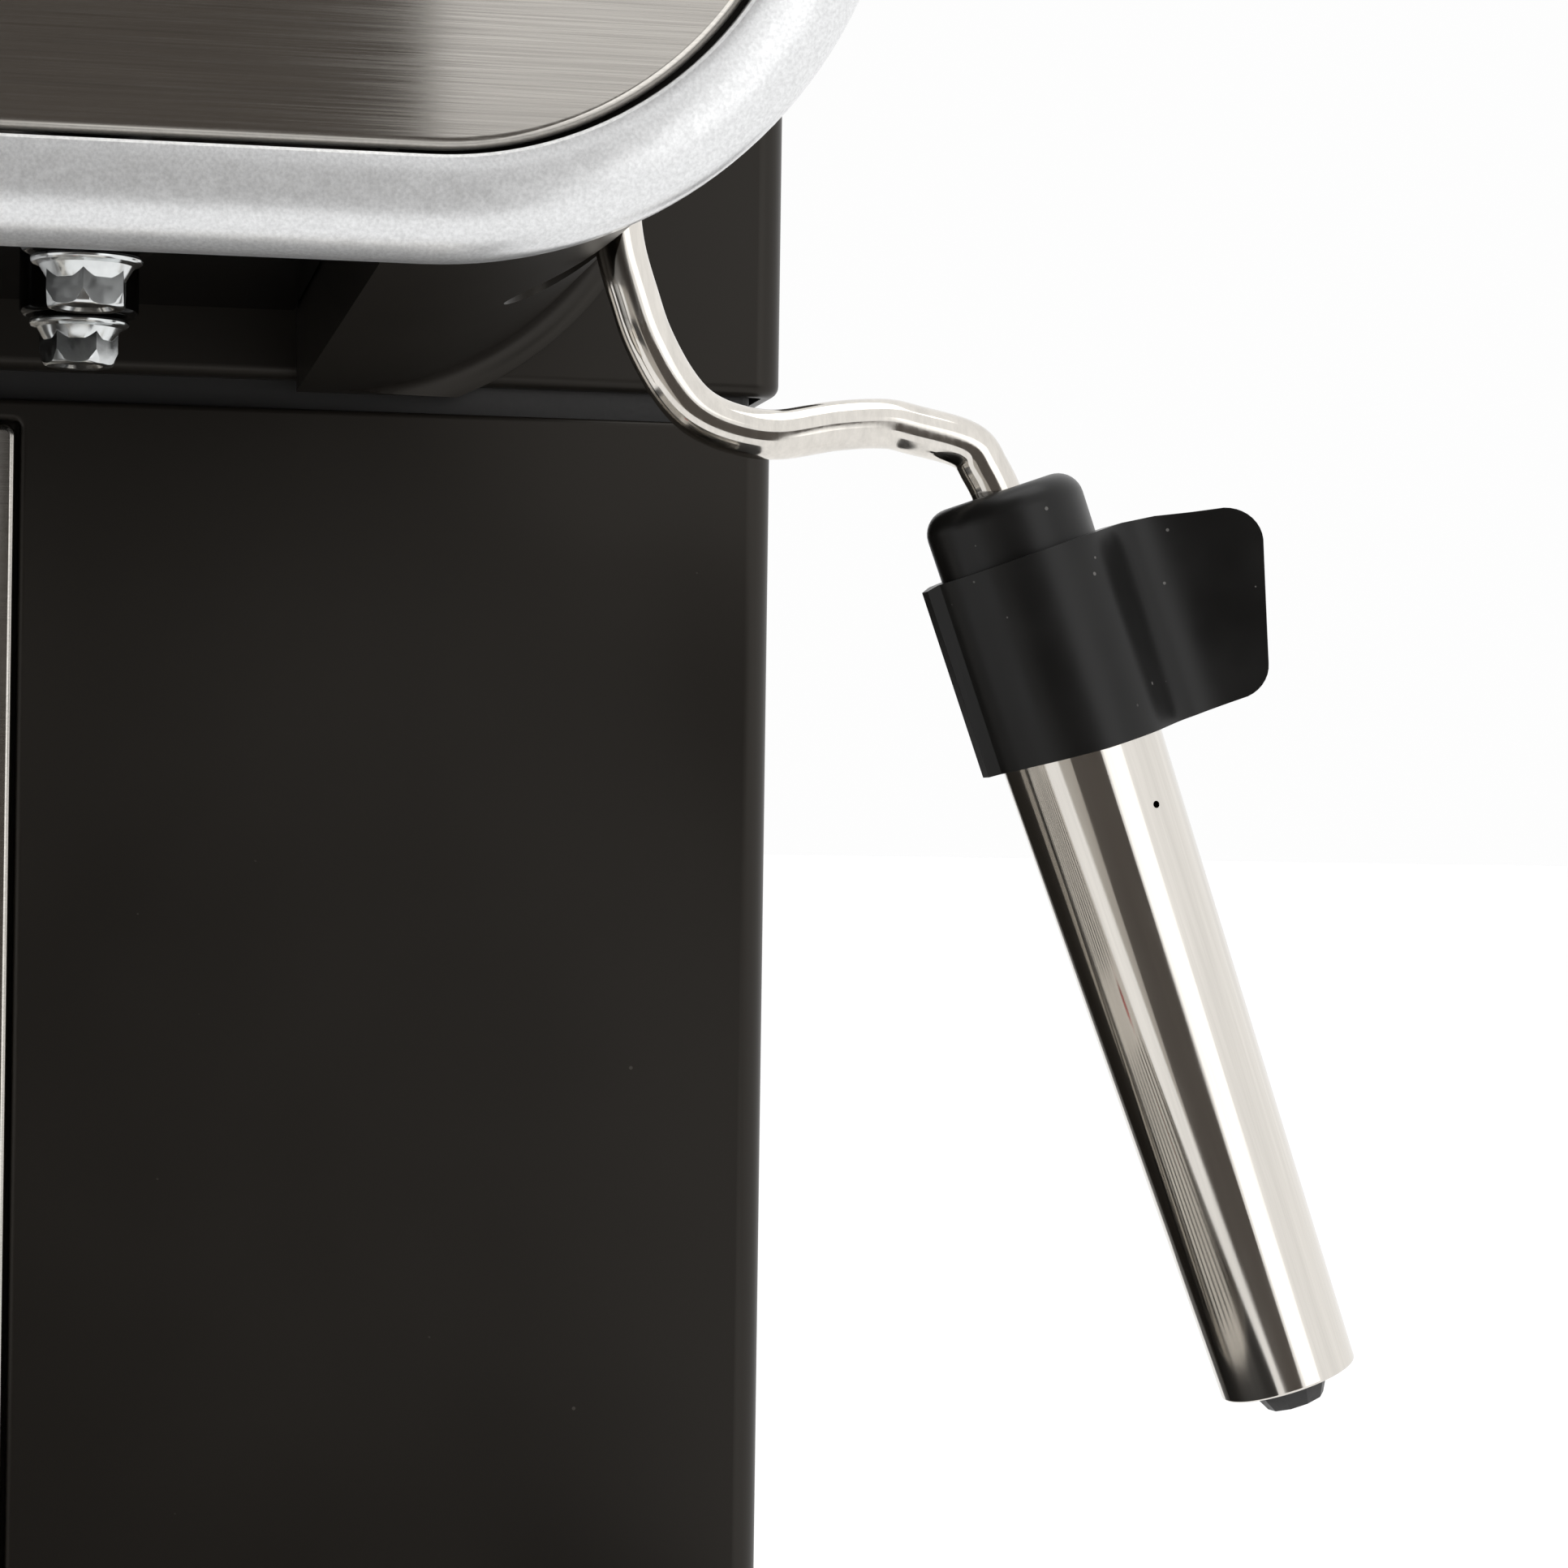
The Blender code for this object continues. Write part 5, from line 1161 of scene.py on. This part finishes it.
class ESPRESSO_OT_portafilter(bpy.types.Operator):
    """Portafilter cup with its ears and arm, the moulded handle and the double spout"""
    bl_idname = "espresso.portafilter"
    bl_label = "Portafilter"

    def execute(self, context):
        low, high = span("portafilter_cup")
        radius, top = high.y, high.z
        bottom, inner = low.z, radius - 2.0
        cup = [(3.0, bottom), (radius - 5.5, bottom)]
        cup += arc((radius - 5.0, bottom + 5.0), 5.0, -85.0, 0.0, 8)
        cup += [(radius, top - 0.3), (radius - 0.3, top), (inner, top), (inner, bottom + 5.0),
                (inner - 3.0, bottom + 3.0), (3.0, bottom + 3.0)]
        piece = lathe(cup, upright(0.0, 0.0), 128, True)
        ear_low = span("group_collar")[0].z + 6.3
        for middle in (0.0, 180.0):
            ear = wedge(middle, 18.0, radius - 1.0, radius + 2.3, ear_low, ear_low + 2.2)
            combine(piece, ear, "UNION")
        handle_low, handle_high = span("portafilter_handle")
        level = (handle_low.z + handle_high.z) / 2.0
        root, end = -radius + 1.0, low.y
        arm = [(0.0, -root), (7.5, -root), (6.2, -end - 18.0), (6.2, -end - 7.6), (7.0, -end - 7.2),
               (9.2, -end - 7.0), (9.4, -end - 6.6), (9.4, -end - 1.0), (8.6, -end), (0.0, -end)]
        combine(piece, lathe(arm, facing(0.0, 0.0, level), 64), "UNION")
        finish(piece, "filter_holder", "portafilter", "polished_steel", "portafilter_cup",
               angle=40.0)
        start, length, thick = -handle_high.y, handle_high.y - handle_low.y, handle_high.x
        profile = smooth([(0.72, 0.0), (0.80, 0.03), (0.84, 0.12), (0.84, 0.30), (0.92, 0.50),
                          (1.0, 0.72), (0.96, 0.88), (0.80, 0.965), (0.5, 0.993), (0.0, 1.0)], 5)
        handle = [(0.0, start)] + [(max(point.x, 0.0) * thick, start + min(point.y, 1.0) * length)
                                   for point in profile]
        piece = lathe(handle, facing(0.0, 0.0, level), 96)
        finish(piece, "handle_moulding", "portafilter", "black_plastic", "portafilter_handle",
               angle=50.0)
        top = span("portafilter_spout")[1].z
        hub = [(0.0, top), (9.0, top), (9.0, top - 4.6), (8.4, top - 6.0), (6.0, top - 9.0),
               (0.0, top - 9.0)]
        spout = lathe(hub, upright(0.0, 0.0), 64)
        reach = 14.0
        half = [(reach, 0.0, top - 20.0), (13.4, 0.0, top - 14.6), (9.0, 0.0, top - 9.6)]
        bend = [(-x, y, z) for x, y, z in half] + [(0.0, 0.0, top - 7.6)] + half[::-1]
        combine(spout, pipe(smooth(bend, 6), 4.1, 8), "UNION")
        for x in (-reach, reach):
            bore = [(0.0, top - 22.0), (3.0, top - 22.0), (3.0, top - 17.0), (0.0, top - 16.0)]
            combine(spout, lathe(bore, upright(x, 0.0), 32))
        finish(spout, "double_spout", "portafilter", "polished_steel", "portafilter_spout",
               angle=40.0)
        return {"FINISHED"}


# ---- water tank

class ESPRESSO_OT_tank(bpy.types.Operator):
    """Clear water tank and its lid with the finger notch"""
    bl_idname = "espresso.tank"
    bl_label = "Water tank"

    def execute(self, context):
        low, high = span("water_tank")
        tank = block(low, high, 12.0, 12)
        wall = 2.0
        hollow(tank, low, high, wall, wall, wall, wall, -wall, 12.0 - wall)
        combine(tank, rod(6.3, low.z - PAST, low.z + PAST, above("tank_valve"), 32))
        round_edges(tank, 0.5, 3, 50.0)
        finish(tank, "tank_vessel", "water_tank", "clear_plastic", "water_tank")
        low, high = span("tank_lid")
        lid = block(low, high, 12.0, 12)
        combine(lid, rod(9.0, low.z - PAST, high.z + PAST, upright(0.0, low.y), 64))
        round_edges(lid, 0.7, 4, 50.0)
        finish(lid, "lid_cover", "tank_lid", "black_plastic", "tank_lid")
        return {"FINISHED"}


# ---- stage

def stage_material(name, colour, glow=0.0, roughness=0.6):
    recipe = Recipe(name, colour, roughness, emission_color=(1.0, 1.0, 1.0, 1.0),
                    emission_strength=glow)
    recipe.tint(recipe.noise(3.0), 0.99, 1.01)
    return recipe.material


def soft_light(name, place, target, width, height, power):
    """A soft box that lights the object and isn't seen itself."""
    lamp = bpy.data.lights.new(name, "AREA")
    lamp.shape = "RECTANGLE"
    lamp.size = width
    lamp.size_y = height
    lamp.energy = power
    box = bpy.data.objects.new(name, lamp)
    box.location = place
    box.rotation_euler = (Vector(target) - Vector(place)).to_track_quat("-Z", "Y").to_euler()
    box.visible_camera = False
    bpy.context.scene.collection.objects.link(box)
    return box


# Cards in front of the machine: left, right, low and high edge, in millimetres, and colour.
CARD_Y = -600.0
CARDS = (
    ("dark_card", -900.0, 131.0, 290.0, 3000.0, (0.055, 0.046, 0.038)),
    ("low_card", -213.0, 279.0, -200.0, 290.0, (0.062, 0.052, 0.044)),
    ("grey_card", -700.0, -213.0, -200.0, 290.0, (0.42, 0.40, 0.37)),
)


class ESPRESSO_OT_stage(bpy.types.Operator):
    """Pale floor, soft light, the cards that the steel mirrors, and the camera"""
    bl_idname = "espresso.stage"
    bl_label = "Stage"

    def execute(self, context):
        studio = context.scene.espresso_studio
        deselect()
        bpy.ops.mesh.primitive_circle_add(vertices=96, radius=30.0, fill_type="NGON", location=(0, 0, 0))
        floor = bpy.context.object
        floor.name = "studio_floor"
        floor.visible_glossy = False
        floor.data.materials.append(stage_material("floor_white", (0.95, 0.95, 0.95), 0.075))
        bpy.ops.object.transform_apply(location=True, rotation=True, scale=True)
        for name, left, right, low, high, colour in CARDS:
            deselect()
            bpy.ops.mesh.primitive_plane_add(
                size=MM, location=at((left + right) / 2.0, CARD_Y, (low + high) / 2.0),
                rotation=(math.radians(90.0), 0.0, 0.0))
            card = bpy.context.object
            card.name = name
            card.scale = (right - left, high - low, 1.0)
            bpy.ops.object.transform_apply(location=True, rotation=True, scale=True)
            card.visible_camera = card.visible_diffuse = card.visible_shadow = False
            card.data.materials.append(stage_material(name, colour))
        world = bpy.data.worlds.new("studio")
        world.use_nodes = True
        shade = world.node_tree.nodes["Background"]
        shade.inputs["Color"].default_value = (studio.backdrop, studio.backdrop, studio.backdrop, 1.0)
        context.scene.world = world
        soft_light("side_box", at(480.0, -620.0, 230.0), at(170.0, 20.0, 150.0), 0.34, 0.6, studio.side)
        soft_light("top_box", (0.1, -0.2, 1.9), (0.0, 0.0, 0.2), 1.2, 1.2, studio.soft_top)
        camera = bpy.data.cameras.new("studio_camera")
        camera.lens = studio.lens
        camera.sensor_width = 36.0
        camera.shift_x, camera.shift_y = 0.0005, 0.0322
        camera.clip_start, camera.clip_end = 0.01, 100.0
        viewer = bpy.data.objects.new("studio_camera", camera)
        viewer.matrix_world = (
            Matrix.Translation(at(35.0, -437.4, 161.0)) @ turned(-11.318) @ FRONT @ turned(0.8))
        context.scene.collection.objects.link(viewer)
        context.scene.camera = viewer
        context.scene.view_settings.view_transform = "Standard"
        return {"FINISHED"}


# ---- panel and main

PIECES = (
    ESPRESSO_OT_finishes, ESPRESSO_OT_bezel, ESPRESSO_OT_front_plate, ESPRESSO_OT_head_shell,
    ESPRESSO_OT_recess_plate, ESPRESSO_OT_bolts, ESPRESSO_OT_housing, ESPRESSO_OT_wand_tube,
    ESPRESSO_OT_wand_grip, ESPRESSO_OT_sleeve, ESPRESSO_OT_base, ESPRESSO_OT_tray, ESPRESSO_OT_top,
    ESPRESSO_OT_controls, ESPRESSO_OT_group, ESPRESSO_OT_portafilter, ESPRESSO_OT_tank,
    ESPRESSO_OT_stage,
)


class ESPRESSO_PT_pieces(bpy.types.Panel):
    """The machine's pieces and settings"""
    bl_idname = "ESPRESSO_PT_pieces"
    bl_label = "Espresso Machine"
    bl_space_type = "VIEW_3D"
    bl_region_type = "UI"
    bl_category = "Espresso"

    def draw(self, context):
        layout = self.layout
        for settings in ("espresso_finishes", "espresso_details", "espresso_studio"):
            group = getattr(context.scene, settings)
            box = layout.box()
            for name in group.__annotations__:
                box.prop(group, name)
        for piece in PIECES:
            layout.operator(piece.bl_idname)


CLASSES = (MachineFinishes, MachineDetails, StudioSettings) + PIECES + (ESPRESSO_PT_pieces,)


def register():
    for made in CLASSES:
        bpy.utils.register_class(made)
    bpy.types.Scene.espresso_finishes = PointerProperty(type=MachineFinishes)
    bpy.types.Scene.espresso_details = PointerProperty(type=MachineDetails)
    bpy.types.Scene.espresso_studio = PointerProperty(type=StudioSettings)


def unregister():
    del bpy.types.Scene.espresso_studio
    del bpy.types.Scene.espresso_details
    del bpy.types.Scene.espresso_finishes
    for made in reversed(CLASSES):
        bpy.utils.unregister_class(made)


def main():
    register()
    for piece in PIECES:
        group, name = piece.bl_idname.split(".")
        getattr(getattr(bpy.ops, group), name)()


if __name__ == "__main__":
    main()
